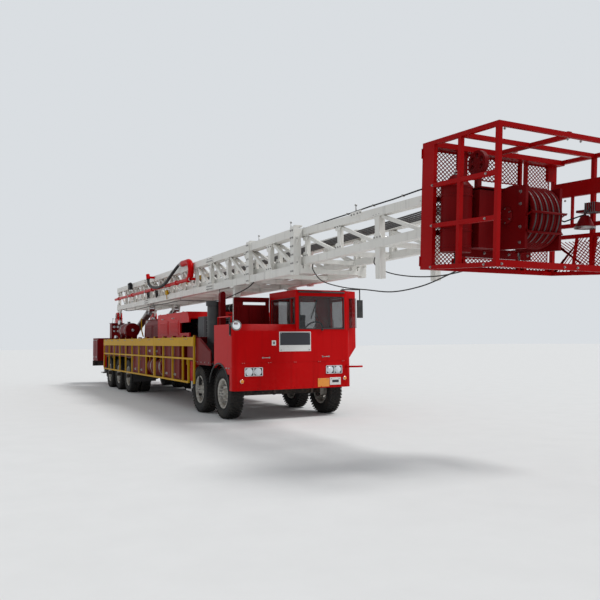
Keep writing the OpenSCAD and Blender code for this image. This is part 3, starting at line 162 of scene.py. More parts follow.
class Graph:
    """Adds nodes to a tree."""

    def __init__(self, tree):
        self.tree = tree
        tree.nodes.clear()

    def add(self, kind, settings=None, inputs=None, out=0):
        node = self.tree.nodes.new(kind)
        for key, value in (settings or {}).items():
            setattr(node, key, value)
        for key, value in (inputs or {}).items():
            if isinstance(value, Wire):
                self.tree.links.new(value.socket, node.inputs[key])
            else:
                node.inputs[key].default_value = value
        return Wire(self, node.outputs[out]) if len(node.outputs) else None

    def also(self, wire, out):
        """Another output of the node that a wire comes from."""
        return Wire(self, wire.socket.node.outputs[out])

    def place(self, out="Object"):
        return self.add("ShaderNodeTexCoord", out=out)

    def mix(self, a, b, share):
        """A colour between two, which are plain numbers or wires."""
        a, b = (c if isinstance(c, Wire) else rgb(c) for c in (a, b))
        return self.add("ShaderNodeMix", {"data_type": "RGBA", "blend_type": "MIX"}, {0: share, 6: a, 7: b}, out=2)

    def stretch(self, place, factors):
        return self.add("ShaderNodeVectorMath", {"operation": "MULTIPLY"}, {0: place, 1: factors})

    def noise(self, place, scale, detail=3.0, roughness=0.55):
        inputs = {"Vector": place, "Scale": scale, "Detail": detail, "Roughness": roughness}
        return self.add("ShaderNodeTexNoise", None, inputs)

    def cells(self, place, scale):
        return self.add("ShaderNodeTexVoronoi", None, {"Vector": place, "Scale": scale})

    def waves(self, place, direction, scale, distortion, detail):
        settings = {"wave_type": "BANDS", "bands_direction": direction}
        inputs = {"Vector": place, "Scale": scale, "Distortion": distortion, "Detail": detail}
        return self.add("ShaderNodeTexWave", settings, inputs, out=1)

    def bump(self, height, strength, distance):
        return self.add("ShaderNodeBump", None, {"Height": height, "Strength": strength, "Distance": distance})

    def split(self, vector):
        x = self.add("ShaderNodeSeparateXYZ", None, {0: vector})
        return x, self.also(x, 1), self.also(x, 2)

    def surface(self, colour, roughness, normal=None, **sockets):
        """The closing shader; sockets are named with _ for a space."""
        inputs = {"Base Color": colour, "Roughness": roughness}
        if normal is not None:
            inputs["Normal"] = normal
        inputs.update((key.replace("_", " "), value) for key, value in sockets.items())
        shader = self.add("ShaderNodeBsdfPrincipled", None, inputs)
        self.add("ShaderNodeOutputMaterial", None, {"Surface": shader})


def rgb(colour):
    return (colour[0], colour[1], colour[2], 1.0)


def tint(colour, factor, lift=0):
    return tuple(min(1.0, c * factor + lift) for c in colour)


# ---------------------------------------------------------------- finishes

DUST = (0.2, 0.15, 0.11)
GRIME = (0.045, 0.036, 0.03)
RUST = (0.2, 0.075, 0.03)
PRIMER = (0.16, 0.07, 0.045)
FINISHES = {}


def finish(name, *values, **settings):
    """Registers a function that draws a finish with these values; values may name a colour of the panel."""

    def keep(draw):
        FINISHES[name] = (draw, values, settings)
        return draw

    return keep


def material(name):
    """The finish's material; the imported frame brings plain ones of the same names, so its own name differs."""
    found = bpy.data.materials.get(name + "_finish")
    if found:
        return found
    made = bpy.data.materials.new(name + "_finish")
    made.use_nodes = True
    draw, values, settings = FINISHES[name]
    colours = bpy.context.scene.rig_colours
    draw(Graph(made.node_tree), *(getattr(colours, v) if isinstance(v, str) else v for v in values), **settings)
    return made


@finish("rim_paint", (0.52, 0.51, 0.47), roughness=0.5, dust=0.9, wear=1.0)
@finish("chassis_black", (0.018, 0.018, 0.02), roughness=0.5, coat=0.05, dust=0.7, wear=0.5)
@finish("engine_iron", (0.12, 0.125, 0.13), roughness=0.55, dust=0.6, wear=0.8)
@finish("red_paint", "red", roughness=0.34, dust=0.06, wear=0.4)
@finish("dark_red_paint", "dark_red", roughness=0.42, dust=0.14, wear=0.6)
# the crown's red is the same red darkened to 0.62: a copy of it in painted shade
@finish("crown_paint", "red", shade=0.62, roughness=0.4, dust=0.04, wear=0.5)
@finish("white_paint", "white", roughness=0.42, coat=0.05, dust=0.3, wear=0.7, under=(0.23, 0.11, 0.06))
@finish("yellow_paint", "yellow", roughness=0.45, dust=0.08, wear=0.9)
def paint(graph, colour, roughness, dust, wear, coat=0, under=PRIMER, shade=1):
    """Machine paint: faded patches, rain streaks, road dust low down, chips down to primer, orange peel; a shade below
    1 darkens the whole colour as painted shade.
    """
    colour = tint(colour, shade)
    place = graph.place()
    height, up = graph.split(place)[2], graph.split(graph.place("Normal"))[2]
    broad = graph.noise(place, 0.9, 4.0)
    fine = graph.noise(place, 14.0, 6.0, 0.65)
    streak = graph.noise(graph.stretch(place, (9.0, 9.0, 0.7)), 1.0, 4.0, 0.6)
    speck = graph.noise(place, 95.0, 3.0, 0.7)
    faded = graph.mix(colour, tint(colour, 1.1, 0.006), broad.band(0.42, 0.68) * 0.7)
    shaded = graph.mix(faded, tint(colour, 0.62), streak.band(0.5, 0.8) * 0.45)
    low = 1.0 - height.band(0.35, 1.5)
    film = (low * fine.band(0.3, 0.75) * 0.75 + up.band(0.5, 0.95) * broad.band(0.35, 0.65) * 0.55) * dust
    soiled = graph.mix(shaded, DUST, film.clamped())
    oily = graph.mix(soiled, GRIME, (fine * streak).band(0.33, 0.46) * 0.35 * dust)
    chips = (speck * 0.55 + fine * 0.45).band(0.655, 0.685) * wear
    chipped = graph.mix(oily, under, chips.clamped())
    rough = fine * 0.14 + film * 0.5 + chips * 0.3 + (roughness - 0.07)
    relief = graph.noise(place, 260.0, 2.0) * 0.05 + broad * 2.2 - chips * 0.35
    graph.surface(chipped, rough, graph.bump(relief, 0.35, 0.006), Coat_Weight=coat, Coat_Roughness=0.15,
                  Specular_IOR_Level=0.06)


@finish("bare_steel", (0.42, 0.41, 0.4), 0.38, (1.0, 6.0, 1.0))
@finish("chrome_rod", (0.72, 0.73, 0.75), 0.16, (0.2, 8.0, 8.0), soil=0.1, rust=0.05)
@finish("lamp_chrome", (0.75, 0.76, 0.78), 0.14, (1.0, 1.0, 1.0), soil=0.15, rust=0.04)
def metal(graph, colour, roughness, grain, soil=0.4, rust=0.25):
    """Bare metal with fine scratches, oil film and a little rust."""
    place = graph.place()
    broad = graph.noise(place, 3.0, 4.0)
    scratch = graph.noise(graph.stretch(place, grain), 60.0, 4.0, 0.7)
    fine = graph.noise(place, 34.0, 5.0, 0.7)
    oil = broad.band(0.45, 0.7) * soil
    oiled = graph.mix(graph.mix(colour, tint(colour, 0.6), scratch.band(0.35, 0.75) * 0.5), GRIME, oil)
    spots = (fine * 0.6 + broad * 0.4).band(0.56, 0.66) * rust
    rough = scratch * 0.2 + spots * 0.35 + broad * 0.12 + (roughness - 0.14)
    relief = scratch * 0.25 + fine * 0.2 - spots * 0.3
    graph.surface(graph.mix(oiled, RUST, spots.clamped()), rough, graph.bump(relief, 0.25, 0.0015),
                  Metallic=1.0 - (spots * 0.8 + oil * 0.5).clamped())


@finish("wire_rope")
def wire_rope(graph):
    place = graph.place()
    lay = graph.waves(place, "DIAGONAL", 38.0, 1.0, 1.0)
    # the lay's grooves are coloured dark and the strands' crowns light: painted shade and highlight over the lay's bump
    shade = graph.mix((0.03, 0.03, 0.032), (0.16, 0.155, 0.15), lay * 0.7)
    grease = graph.mix(shade, GRIME, graph.noise(place, 4.0, 3.0).band(0.4, 0.7) * 0.6)
    graph.surface(grease, lay * 0.2 + 0.35, graph.bump(lay, 0.6, 0.002), Metallic=0.6)


@finish("tyre")
def tyre(graph):
    """Rubber, browned by dust in the tread and on the sidewall's ribs."""
    place = graph.place()
    fine = graph.noise(place, 26.0, 6.0, 0.7)
    shade = graph.mix((0.013, 0.013, 0.014), (0.032, 0.031, 0.03), fine)
    dusty = graph.mix(shade, (0.075, 0.066, 0.054), (graph.noise(place, 2.4, 4.0) * fine).band(0.18, 0.42) * 0.6)
    relief = graph.noise(place, 180.0, 3.0) * 0.4 + fine
    graph.surface(dusty, fine * 0.2 + 0.68, graph.bump(relief, 0.35, 0.002), Specular_IOR_Level=0.2)


@finish("rubber")
def rubber(graph):
    place = graph.place()
    fine = graph.noise(place, 40.0, 5.0, 0.7)
    shade = graph.mix((0.01, 0.01, 0.011), (0.03, 0.029, 0.028), fine)
    dusty = graph.mix(shade, DUST, graph.noise(place, 5.0, 3.0).band(0.55, 0.8) * 0.12)
    graph.surface(dusty, fine * 0.2 + 0.45, graph.bump(fine, 0.3, 0.001), Specular_IOR_Level=0.25)


@finish("tread_plate", "dark_red")
def tread_plate(graph, colour):
    """Checker plate, its raised bars worn bright."""
    place = graph.place()
    x, y = graph.split(place)[:2]
    a, b = (x + y) * 95.0, (x - y) * 95.0
    bars = (a.maths("SINE", a) * b.maths("SINE", b)).band(0.25, 0.7)
    fine = graph.noise(place, 30.0, 5.0, 0.7)
    base = graph.mix(tint(colour, 0.8), DUST, graph.noise(place, 1.6, 5.0).band(0.35, 0.75) * 0.45)
    worn = graph.mix(base, (0.22, 0.2, 0.19), (bars * fine.band(0.35, 0.7) * 0.7).clamped())
    graph.surface(worn, fine * 0.2 + 0.42, graph.bump(bars + fine * 0.2, 0.6, 0.004), Metallic=bars * 0.4)


@finish("black_plastic")
def black_plastic(graph):
    place = graph.place()
    broad = graph.noise(place, 6.0, 4.0)
    shade = graph.mix((0.014, 0.014, 0.015), (0.04, 0.038, 0.036), broad.band(0.4, 0.8))
    graph.surface(shade, broad * 0.2 + 0.38, graph.bump(graph.cells(place, 420.0), 0.2, 0.0008))


@finish("seat_vinyl")
def seat_vinyl(graph):
    place = graph.place()
    crease = graph.noise(place, 18.0, 5.0, 0.6)
    shade = graph.mix((0.02, 0.02, 0.022), (0.05, 0.048, 0.046), crease.band(0.4, 0.75))
    graph.surface(shade, crease * 0.25 + 0.35, graph.bump(graph.cells(place, 260.0) * 0.4 + crease, 0.3, 0.002))


@finish("glass")
def glass(graph):
    """Thin cab glass, with a film of dust."""
    film = graph.noise(graph.place(), 5.0, 5.0, 0.6)
    dirty = graph.mix((0.03, 0.035, 0.036), (0.2, 0.2, 0.19), film.band(0.5, 0.9) * 0.5)
    graph.surface(dirty, film.band(0.55, 0.9) * 0.12 + 0.02, Alpha=film.band(0.5, 0.9) * 0.12 + 0.34, IOR=1.5,
                  Specular_IOR_Level=0.7)


@finish("mirror_glass")
def mirror_glass(graph):
    film = graph.noise(graph.place(), 20.0, 4.0)
    shade = graph.mix((0.86, 0.9, 0.93), (0.6, 0.62, 0.62), film.band(0.5, 0.9) * 0.5)
    graph.surface(shade, film * 0.08 + 0.01, Metallic=1.0)


@finish("clear_lens", (0.72, 0.76, 0.8), 0.05)
@finish("amber_lens", (0.85, 0.3, 0.02), 0.1)
@finish("red_lens", (0.5, 0.01, 0.01), 0.05)
def lens(graph, colour, glow):
    """Moulded lamp lens with fine flutes."""
    place = graph.place()
    flutes = graph.waves(place, "Y", 30.0, 0, 2.0)
    film = graph.noise(place, 30.0, 3.0)
    shade = graph.mix(colour, tint(colour, 0.7), flutes * 0.4 + film * 0.2)
    graph.surface(shade, film * 0.1 + 0.06, graph.bump(flutes, 0.4, 0.002), Coat_Weight=0.6,
                  Emission_Color=rgb(colour), Emission_Strength=glow)


@finish("plate_white", (0.72, 0.72, 0.7))
@finish("plate_black", (0.02, 0.022, 0.03))
@finish("plate_orange", (0.82, 0.3, 0.04))
def blank_plate(graph, colour):
    film = graph.noise(graph.place(), 24.0, 5.0, 0.65)
    shade = graph.mix(colour, tint(colour, 0.55), film.band(0.5, 0.85) * 0.5)
    graph.surface(shade, film * 0.2 + 0.3, graph.bump(film, 0.15, 0.001))


# ---------------------------------------------------------------- mesh making


def rod(radius, low, high):
    """The section of a plain round bar."""
    return [(0, low), (radius, low), (radius, high), (0, high)]


def cap(radius, tall, top, height):
    """The section of a round cap, drawn in to top over its upper edge."""
    return [(0, 0), (radius, 0), (radius, tall), (top, height), (0, height)]


def band(inner, outer, half, edge=None):
    """The closed section of a flat ring; edge is half the width of its outer face, where that differs."""
    edge = edge or half
    return [(inner, -half), (outer, -edge), (outer, edge), (inner, half), (inner, -half)]


def hoop(radius, thick, sides=6, lift=0):
    """The closed section of a ring of round wire."""
    ring = [(radius + thick * cos(a), lift + thick * sin(a)) for a in full_round(sides)]
    return ring + ring[:1]


def border(a0, a1, b0, b1, width, inset=0):
    """The four bars inside a rectangle's edge."""
    return ((a0 + inset, a1 - inset, b0, b0 + width), (a0 + inset, a1 - inset, b1 - width, b1),
            (a0, a0 + width, b0, b1), (a1 - width, a1, b0, b1))


def facing(axis, spin=0):
    """A turn whose Z looks along an axis."""
    return Vector(axis).to_track_quat("Z", "Y").to_matrix() @ Matrix.Rotation(spin, 3, "Z")


class Kit:
    """Collects the faces of one piece. Its first finish is used where a call names none, and its places are
    (s, y, z), or in another frame's numbers where one is given."""

    def __init__(self, *finishes, where=at):
        self.bm = bmesh.new()
        self.finishes = finishes
        self.where = where

    def spot(self, place):
        return place if isinstance(place, Vector) else self.where(*place)

    def take(self, made, name, smooth, matrix=None):
        """Moves a finished small bmesh into the piece."""
        index = self.finishes.index(name) if name else 0
        if matrix is not None:
            bmesh.ops.transform(made, matrix=matrix, verts=made.verts)
        for face in made.faces:
            face.material_index = index
            face.smooth = smooth
        mesh = bpy.data.meshes.new("part")
        made.to_mesh(mesh)
        made.free()
        self.bm.from_mesh(mesh)
        bpy.data.meshes.remove(mesh)

    def sized(self, size, place, soft=0.004, name=None, steps=1):
        """A box of a size, put where a matrix says, its edges rounded by soft."""
        made = bmesh.new()
        bmesh.ops.create_cube(made, size=1.0, matrix=Matrix.Diagonal(Vector(size).to_4d()))
        if soft:
            bmesh.ops.bevel(made, geom=list(made.edges), offset=min(soft, min(size) * 0.45), segments=steps,
                            profile=0.5, affect="EDGES")
        self.take(made, name, False, place)

    def block(self, low, high, soft=0.004, name=None, steps=1):
        """A rounded box from low to high."""
        a, b = self.where(*low), self.where(*high)
        size = Vector([abs(b[i] - a[i]) for i in range(3)])
        self.sized(size, Matrix.Translation((a + b) / 2), soft, name, steps)

    def beam(self, a, b, width, depth, soft=0.004, name=None):
        """A rectangular bar between two places."""
        a, b = self.spot(a), self.spot(b)
        turn = (b - a).to_track_quat("Z", "Y").to_matrix().to_4x4()
        self.sized((width, depth, (b - a).length), Matrix.Translation((a + b) / 2) @ turn, soft, name)

    def turned(self, profile, centre, axis, steps=32, name=None, smooth=True):
        """A solid turned round an axis; profile is (radius, along) pairs, open at the axis or closed."""
        made = bmesh.new()
        closed = profile[0] == profile[-1]
        rows = []
        for r, along in profile[:-1] if closed else profile:
            if r < 1e-6:
                rows.append([made.verts.new((0, 0, along))])
                continue
            rows.append([made.verts.new((r * cos(2 * pi * i / steps),
                                         r * sin(2 * pi * i / steps), along)) for i in range(steps)])
        for below, above in zip(rows, rows[1:] + rows[:1] if closed else rows[1:]):
            for i in range(steps):
                j = (i + 1) % steps
                corners = [below[i % len(below)], below[j % len(below)], above[j % len(above)], above[i % len(above)]]
                unique = list(dict.fromkeys(corners))
                if len(unique) > 2:
                    made.faces.new(unique)
        bmesh.ops.recalc_face_normals(made, faces=made.faces)
        turn = Vector(axis).to_track_quat("Z", "Y").to_matrix().to_4x4()
        self.take(made, name, smooth, Matrix.Translation(self.spot(centre)) @ turn)

    def tube(self, points, radius, steps=8, name=None):
        """A round tube along places, with flat ends."""
        made = bmesh.new()
        points = [self.spot(p) for p in points]
        side = None
        rows = []
        for i, p in enumerate(points):
            ahead = (points[min(i + 1, len(points) - 1)] - points[max(i - 1, 0)]).normalized()
            if side is None:
                side = ahead.cross(Vector(UP if abs(ahead.z) < 0.9 else AHEAD)).normalized()
            side = (side - ahead * side.dot(ahead)).normalized()
            up = ahead.cross(side)
            rows.append([made.verts.new(p + side * radius * cos(2 * pi * k / steps)
                                        + up * radius * sin(2 * pi * k / steps)) for k in range(steps)])
        for below, above in zip(rows, rows[1:]):
            for k in range(steps):
                j = (k + 1) % steps
                made.faces.new((below[k], below[j], above[j], above[k]))
        made.faces.new(rows[0][::-1])
        made.faces.new(rows[-1])
        bmesh.ops.recalc_face_normals(made, faces=made.faces)
        self.take(made, name, True)

    def plate(self, outline, a, b, name=None, soft=0):
        """A plate with a (s, z) outline, from y = a to y = b."""
        made = bmesh.new()
        near, far = ([made.verts.new((NOSE - s, y, z)) for s, z in outline] for y in (a, b))
        made.faces.new(near)
        made.faces.new(far[::-1])
        for i in range(len(outline)):
            j = (i + 1) % len(outline)
            made.faces.new((near[j], near[i], far[i], far[j]))
        bmesh.ops.recalc_face_normals(made, faces=made.faces)
        if soft:
            bmesh.ops.bevel(made, geom=list(made.edges), offset=soft, segments=1, profile=0.5, affect="EDGES")
        self.take(made, name, False)

    def copies(self, item, marks, name=None):
        """Adds what a Geometry Nodes tree makes on the marks."""
        index = self.finishes.index(name) if name else 0
        mesh = copied(item, marks, self.finishes[index])
        for face in mesh.polygons:
            face.material_index = index
            face.use_smooth = False
        self.bm.from_mesh(mesh)
        bpy.data.meshes.remove(mesh)

    def bolts(self, places, axis, size, name=STEEL):
        """Bolt heads of one size, looking along an axis."""
        turn = CROWN.to_3x3() @ facing(axis) if self.where is on_crown else facing(axis)
        self.copies("bolt", [(self.spot(p), turn, (size, size, size)) for p in places], name)

    def handle(self, a, b, out, radius, name=STEEL):
        """A bent grab handle between two places, standing out from the wall."""
        a, b, out = self.spot(a), self.spot(b), Vector(out)
        along = (b - a).normalized() * radius * 2.5
        self.tube([a, a + out * 0.7, a + out + along, b + out - along, b + out * 0.7, b], radius, 8, name)
        for p in (a, b):
            self.turned([(0, 0), (radius * 2.4, 0), (radius * 2.0, 0.005), (0, 0.006)], p, out, 12, name)

    def done(self, name, body, replaces=(), matrix=None):
        """The piece, at the origin, riding on its body."""
        if matrix is not None:
            bmesh.ops.transform(self.bm, matrix=matrix, verts=self.bm.verts)
        mesh = bpy.data.meshes.new(name)
        self.bm.to_mesh(mesh)
        self.bm.free()
        for finish_name in self.finishes:
            mesh.materials.append(material(finish_name))
        mesh.validate()
        piece = bpy.data.objects.new(name, mesh)
        bpy.context.scene.collection.objects.link(piece)
        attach(piece, body)
        if replaces:
            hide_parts(*replaces)
        return piece


# One Geometry Nodes tree for each kind of thing that repeats: it stands on marks that carry a turn and a size


def bolt_item(graph, inputs):
    head = graph.add("GeometryNodeMeshCylinder", None, {"Vertices": 6, "Radius": 0.5, "Depth": 0.7})
    washer = graph.add("GeometryNodeMeshCylinder", None, {"Vertices": 12, "Radius": inputs["Washer"], "Depth": 0.2})
    lifted = graph.add("GeometryNodeTransform", None, {"Geometry": head, "Translation": (0, 0, 0.35)})
    return graph.join(washer, lifted)


def block_item(graph, inputs):
    return graph.add("GeometryNodeMeshCube", None, {"Size": (1.0, 1.0, 1.0)})


def strand_item(graph, inputs):
    return graph.add("GeometryNodeMeshCylinder", None, {"Vertices": inputs["Sides"], "Radius": 0.5, "Depth": 1.0})


def lug_item(graph, inputs):
    """A tread lug, narrower at its top."""
    x, y, z = graph.split(graph.add("GeometryNodeInputPosition"))
    shrink = 1.0 - (z + 0.5) * inputs["Taper"]
    shrunk = graph.add("ShaderNodeCombineXYZ", None, {0: x * shrink, 1: y * shrink, 2: z})
    return graph.add("GeometryNodeSetPosition", None, {"Geometry": block_item(graph, inputs), "Position": shrunk})


ITEMS = {
    "bolt": (bolt_item, {"Washer": ("NodeSocketFloat", 0.72)}),
    "block": (block_item, {}),
    "strand": (strand_item, {"Sides": ("NodeSocketInt", 6)}),
    "lug": (lug_item, {"Taper": ("NodeSocketFloat", 0.16)}),
}


class Growth(Graph):
    """A Geometry Nodes tree with named inputs."""

    def join(self, *parts):
        joined = self.tree.nodes.new("GeometryNodeJoinGeometry")
        for part in parts:
            self.tree.links.new(part.socket, joined.inputs[0])
        return Wire(self, joined.outputs[0])

    def carried(self, name):
        """A vector that each mark carries."""
        return self.add("GeometryNodeInputNamedAttribute", {"data_type": "FLOAT_VECTOR"}, {"Name": name})


def copy_tree(item):
    """The tree that puts an item on each mark."""
    name = "copies_of_" + item
    found = bpy.data.node_groups.get(name)
    if found:
        return found
    draw, wanted = ITEMS[item]
    tree = bpy.data.node_groups.new(name, "GeometryNodeTree")
    graph = Growth(tree)
    tree.interface.new_socket("Marks", in_out="INPUT", socket_type="NodeSocketGeometry")
    for label, (kind, value) in wanted.items():
        tree.interface.new_socket(label, in_out="INPUT", socket_type=kind).default_value = value
    tree.interface.new_socket("Finish", in_out="INPUT", socket_type="NodeSocketMaterial")
    tree.interface.new_socket("Copies", in_out="OUTPUT", socket_type="NodeSocketGeometry")
    entry = graph.add("NodeGroupInput")
    inputs = {label: graph.also(entry, label) for label in wanted}
    spin = graph.add("FunctionNodeEulerToRotation", None, {0: graph.carried("turn")})
    placed = graph.add("GeometryNodeInstanceOnPoints", None, {"Points": entry, "Instance": draw(graph, inputs),
                                                              "Rotation": spin, "Scale": graph.carried("size")})
    real = graph.add("GeometryNodeRealizeInstances", None, {"Geometry": placed})
    covered = graph.add("GeometryNodeSetMaterial", None, {"Geometry": real, "Material": graph.also(entry, "Finish")})
    graph.add("NodeGroupOutput", None, {"Copies": covered})
    return tree


def plain_mesh(thing):
    """What an object looks like with its modifiers, as a mesh of its own."""
    depsgraph = bpy.context.evaluated_depsgraph_get()
    return bpy.data.meshes.new_from_object(thing.evaluated_get(depsgraph), depsgraph=depsgraph)


def copied(item, marks, finish_name):
    """The plain mesh of an item on each mark; a mark is (place, turn as a matrix, size)."""
    base = bpy.data.meshes.new("marks")
    base.from_pydata([tuple(place) for place, turn, size in marks], [], [])
    for key, pick in (("turn", lambda m: m[1].to_euler()), ("size", lambda m: m[2])):
        layer = base.attributes.new(key, "FLOAT_VECTOR", "POINT")
        layer.data.foreach_set("vector", [value for mark in marks for value in pick(mark)])
    holder = bpy.data.objects.new("marks", base)
    bpy.context.scene.collection.objects.link(holder)
    modifier = holder.modifiers.new("copies", "NODES")
    modifier.node_group = tree = copy_tree(item)
    values = {label: value for label, (kind, value) in ITEMS[item][1].items()}
    values["Finish"] = material(finish_name)
    for socket in tree.interface.items_tree:
        if socket.in_out == "INPUT" and socket.name in values:
            modifier[socket.identifier] = values[socket.name]
    mesh = plain_mesh(holder)
    holder.modifiers.remove(modifier)
    bpy.data.objects.remove(holder)
    bpy.data.meshes.remove(base)
    return mesh


# ---------------------------------------------------------------- sizes and colours a user may change


class RigSizes(bpy.types.PropertyGroup):
    bolt: FloatProperty(name="Bolt head", description="Across a bolt's head", default=0.028, unit="LENGTH")
    tread: FloatProperty(name="Tread depth", description="How deep the tyre grooves are", default=0.014, unit="LENGTH")
    lugs: IntProperty(name="Tread lugs", description="Lugs round one tyre", default=44)
    mesh_pitch: FloatProperty(name="Mesh pitch", description="Width of a diamond in the guard mesh", default=0.06,
                              unit="LENGTH")
    mesh_rise: FloatProperty(name="Mesh rise", description="Height of a diamond in the guard mesh", default=0.05,
                             unit="LENGTH")
    mesh_strand: FloatProperty(name="Mesh strand", description="Thickness of the mesh's strands", default=0.0056,
                               unit="LENGTH")
    rope: FloatProperty(name="Drilling line", description="Thickness of the drilling line", default=0.026,
                        unit="LENGTH")


class RigColours(bpy.types.PropertyGroup):
    red: FloatVectorProperty(name="Red", description="Nose, cab, hood and crown", subtype="COLOR", size=3,
                             default=(0.5, 0.0008, 0.002))
    dark_red: FloatVectorProperty(name="Dark red", description="Deck, boxes and machinery", subtype="COLOR", size=3,
                                  default=(0.14, 0.0014, 0.0025))
    yellow: FloatVectorProperty(name="Yellow", description="Handrails", subtype="COLOR", size=3,
                                default=(0.52, 0.29, 0.006))
    white: FloatVectorProperty(name="White", description="Mast", subtype="COLOR", size=3,
                               default=(0.74, 0.73, 0.69))


# ---------------------------------------------------------------- camera, free lines and wheels

# What the photograph shows: its width and focal length in pixels, the camera's turn in degrees and its place
PHOTO_WIDTH, FOCAL, SENSOR = 600.0, 680.74, 36.0
YAW, PITCH, ROLL = radians(153.29), radians(3.418), radians(0.512)
EYE = (NOSE + 12.134, -5.98, 1.54)


class RIG_OT_camera(bpy.types.Operator):
    """Places the camera at the photograph's viewing angle"""

    bl_idname = "rig.camera"
    bl_label = "Camera"

    def execute(self, context):
        optics = bpy.data.cameras.new("view")
        optics.sensor_width = SENSOR
        optics.lens = FOCAL * SENSOR / PHOTO_WIDTH
        optics.clip_start, optics.clip_end = 0.1, 500.0
        camera = bpy.data.objects.new("view", optics)
        context.scene.collection.objects.link(camera)
        ahead = Vector((cos(YAW) * cos(PITCH), sin(YAW) * cos(PITCH), sin(PITCH)))
        camera.rotation_mode = "QUATERNION"
        camera.rotation_quaternion = ahead.to_track_quat("-Z", "Y") @ Euler((0, 0, -ROLL)).to_quaternion()
        camera.location = EYE
        context.scene.camera = camera
        return {"FINISHED"}


def smooth(points, steps):
    """The smooth curve through a line's points that the part's source draws."""
    out = []
    last = len(points) - 1
    for i in range(last):
        a, b, c, d = points[max(i - 1, 0)], points[i], points[i + 1], points[min(i + 2, last)]
        for k in range(steps):
            t = k / steps
            out.append((b * 2 + (c - a) * t + (a * 2 - b * 5 + c * 4 - d) * t ** 2
                        + (b * 3 - a - c * 3 + d) * t ** 3) / 2)
    return out + [points[-1]]


# Each free line's node, body, diameter and stiffness, its places on the rig and then those on the crown
FREE_LINES = (
    ("mud_hose", "lower_mast", 0.08, "stiff",
     ((5.0, -0.81, 3.55), (5.2, -0.81, 3.55), (5.42, -0.84, 3.46), (5.68, -0.9, 3.3), (6.1, -0.905, 3.16),
      (6.7, -0.905, 3.09), (7.3, -0.905, 3.11), (7.76, -0.905, 3.18), (7.99, -0.905, 3.28), (8.05, -0.905, 3.42)), ()),
    ("cable_1", "upper_mast", 0.018, "medium",
     ((UPPER_S[3] + 0.035, -0.4, TIE_Z), (UPPER_S[3] + 0.035, -0.4, TIE_Z - 0.12), (-1.9, -0.4, 2.56),
      (-2.6, -0.4, 2.4), (-3.3, -0.4, 2.31), (-4.0, -0.4, 2.23), (-4.7, -0.4, 2.26), (-5.25, -0.4, 2.36)),
     ((-0.12, -0.4, 0.025), (0, -0.4, 0.025))),
    ("cable_2", "upper_mast", 0.018, "medium",
     ((UPPER_S[2] + 0.035, 0.15, TIE_Z), (UPPER_S[2] + 0.035, 0.15, TIE_Z - 0.12), (-3.05, 0.18, 2.62),
      (-3.6, 0.24, 2.51), (-4.2, 0.32, 2.47), (-4.8, 0.4, 2.52), (-5.25, 0.44, 2.6)),
     ((-0.12, 0.4475, 0.3), (0, 0.4475, 0.3))),
)


class RIG_OT_cords(bpy.types.Operator):
    """Lays the mud hose and the two loose cables along their routes"""

    bl_idname = "rig.cords"
    bl_label = "Free lines"

    def execute(self, context):
        for node, body, diameter, stiffness, places, ends in FREE_LINES:
            path = smooth([at(*p) for p in places] + [on_crown(*p) for p in ends], 6)
            kit = Kit(RUBBER)
            kit.tube(path, diameter / 2, 12)
            piece = kit.done(node + "_line", body, [node])
            length = sum((b - a).length for a, b in zip(path, path[1:]))
            tuple(path[0])
            [tuple(p) for p in path]
        return {"FINISHED"}


def tyre_profile(depth):
    """(radius, along) round one tyre's section, from bead to bead and back inside."""
    h = TYRE_W / 2
    crown = TYRE_R - depth
    out = [(RIM_R + r, z - h) for r, z in ((0.012, 0.035), (0.03, 0.016), (0.07, 0.004), (0.115, 0.0005),
                                           (0.155, 0.01))]
    out += [(crown - 0.022, 0.018 - h), (crown - 0.005, 0.03 - h), (crown, 0.05 - h)]
    return out + [(r, -z) for r, z in reversed(out)] + [(RIM_R + 0.012, 0), out[0]]


# Each tread lane's place across, its width, its lugs' share of their spacing, and its shift round
LANES = ((-0.105, 0.062, 0.8, 0), (-0.042, 0.046, 0.66, 0.5), (0, 0.026, 0.9, 0.25), (0.042, 0.046, 0.66, 0),
         (0.105, 0.062, 0.8, 0.5))


def add_tyre(kit, y, sizes, phase):
    """A tyre at y on the axis, with sidewall ribs and tread lugs in five rows."""
    centre = Vector((0, y, 0))
    kit.turned(tyre_profile(sizes.tread), centre, LEFT, 56)
    h = TYRE_W / 2
    for side in (-1, 1):
        for r, width in ((RIM_R + 0.052, 0.005), (RIM_R + 0.12, 0.004)):
            ring = [(r - width, h - 0.012), (r - width * 0.5, h - 0.0005), (r + width * 0.5, h - 0.0005),
                    (r + width, h - 0.012), (r - width, h - 0.012)]
            kit.turned([(a, b * side) for a, b in ring], centre, LEFT, 48)
    marks = []
    across = Vector(LEFT)
    for lane, width, share, shift in LANES:
        radius = TYRE_R - sizes.tread / 2 - 0.0005 - (0.006 if abs(lane) > 0.1 else 0)
        length = 2 * pi * TYRE_R / sizes.lugs * share
        for i in range(sizes.lugs):
            a = 2 * pi * (i + shift + phase) / sizes.lugs
            out = Vector((cos(a), 0, sin(a)))
            spin = Matrix.Rotation(copysign(0.22, lane) if lane else 0, 3, out)
            turn = spin @ Matrix((across, out.cross(across) * -1, out)).transposed()
            marks.append((centre + across * lane + out * radius, turn, (width, length, sizes.tread + 0.004)))
    kit.copies("lug", marks)


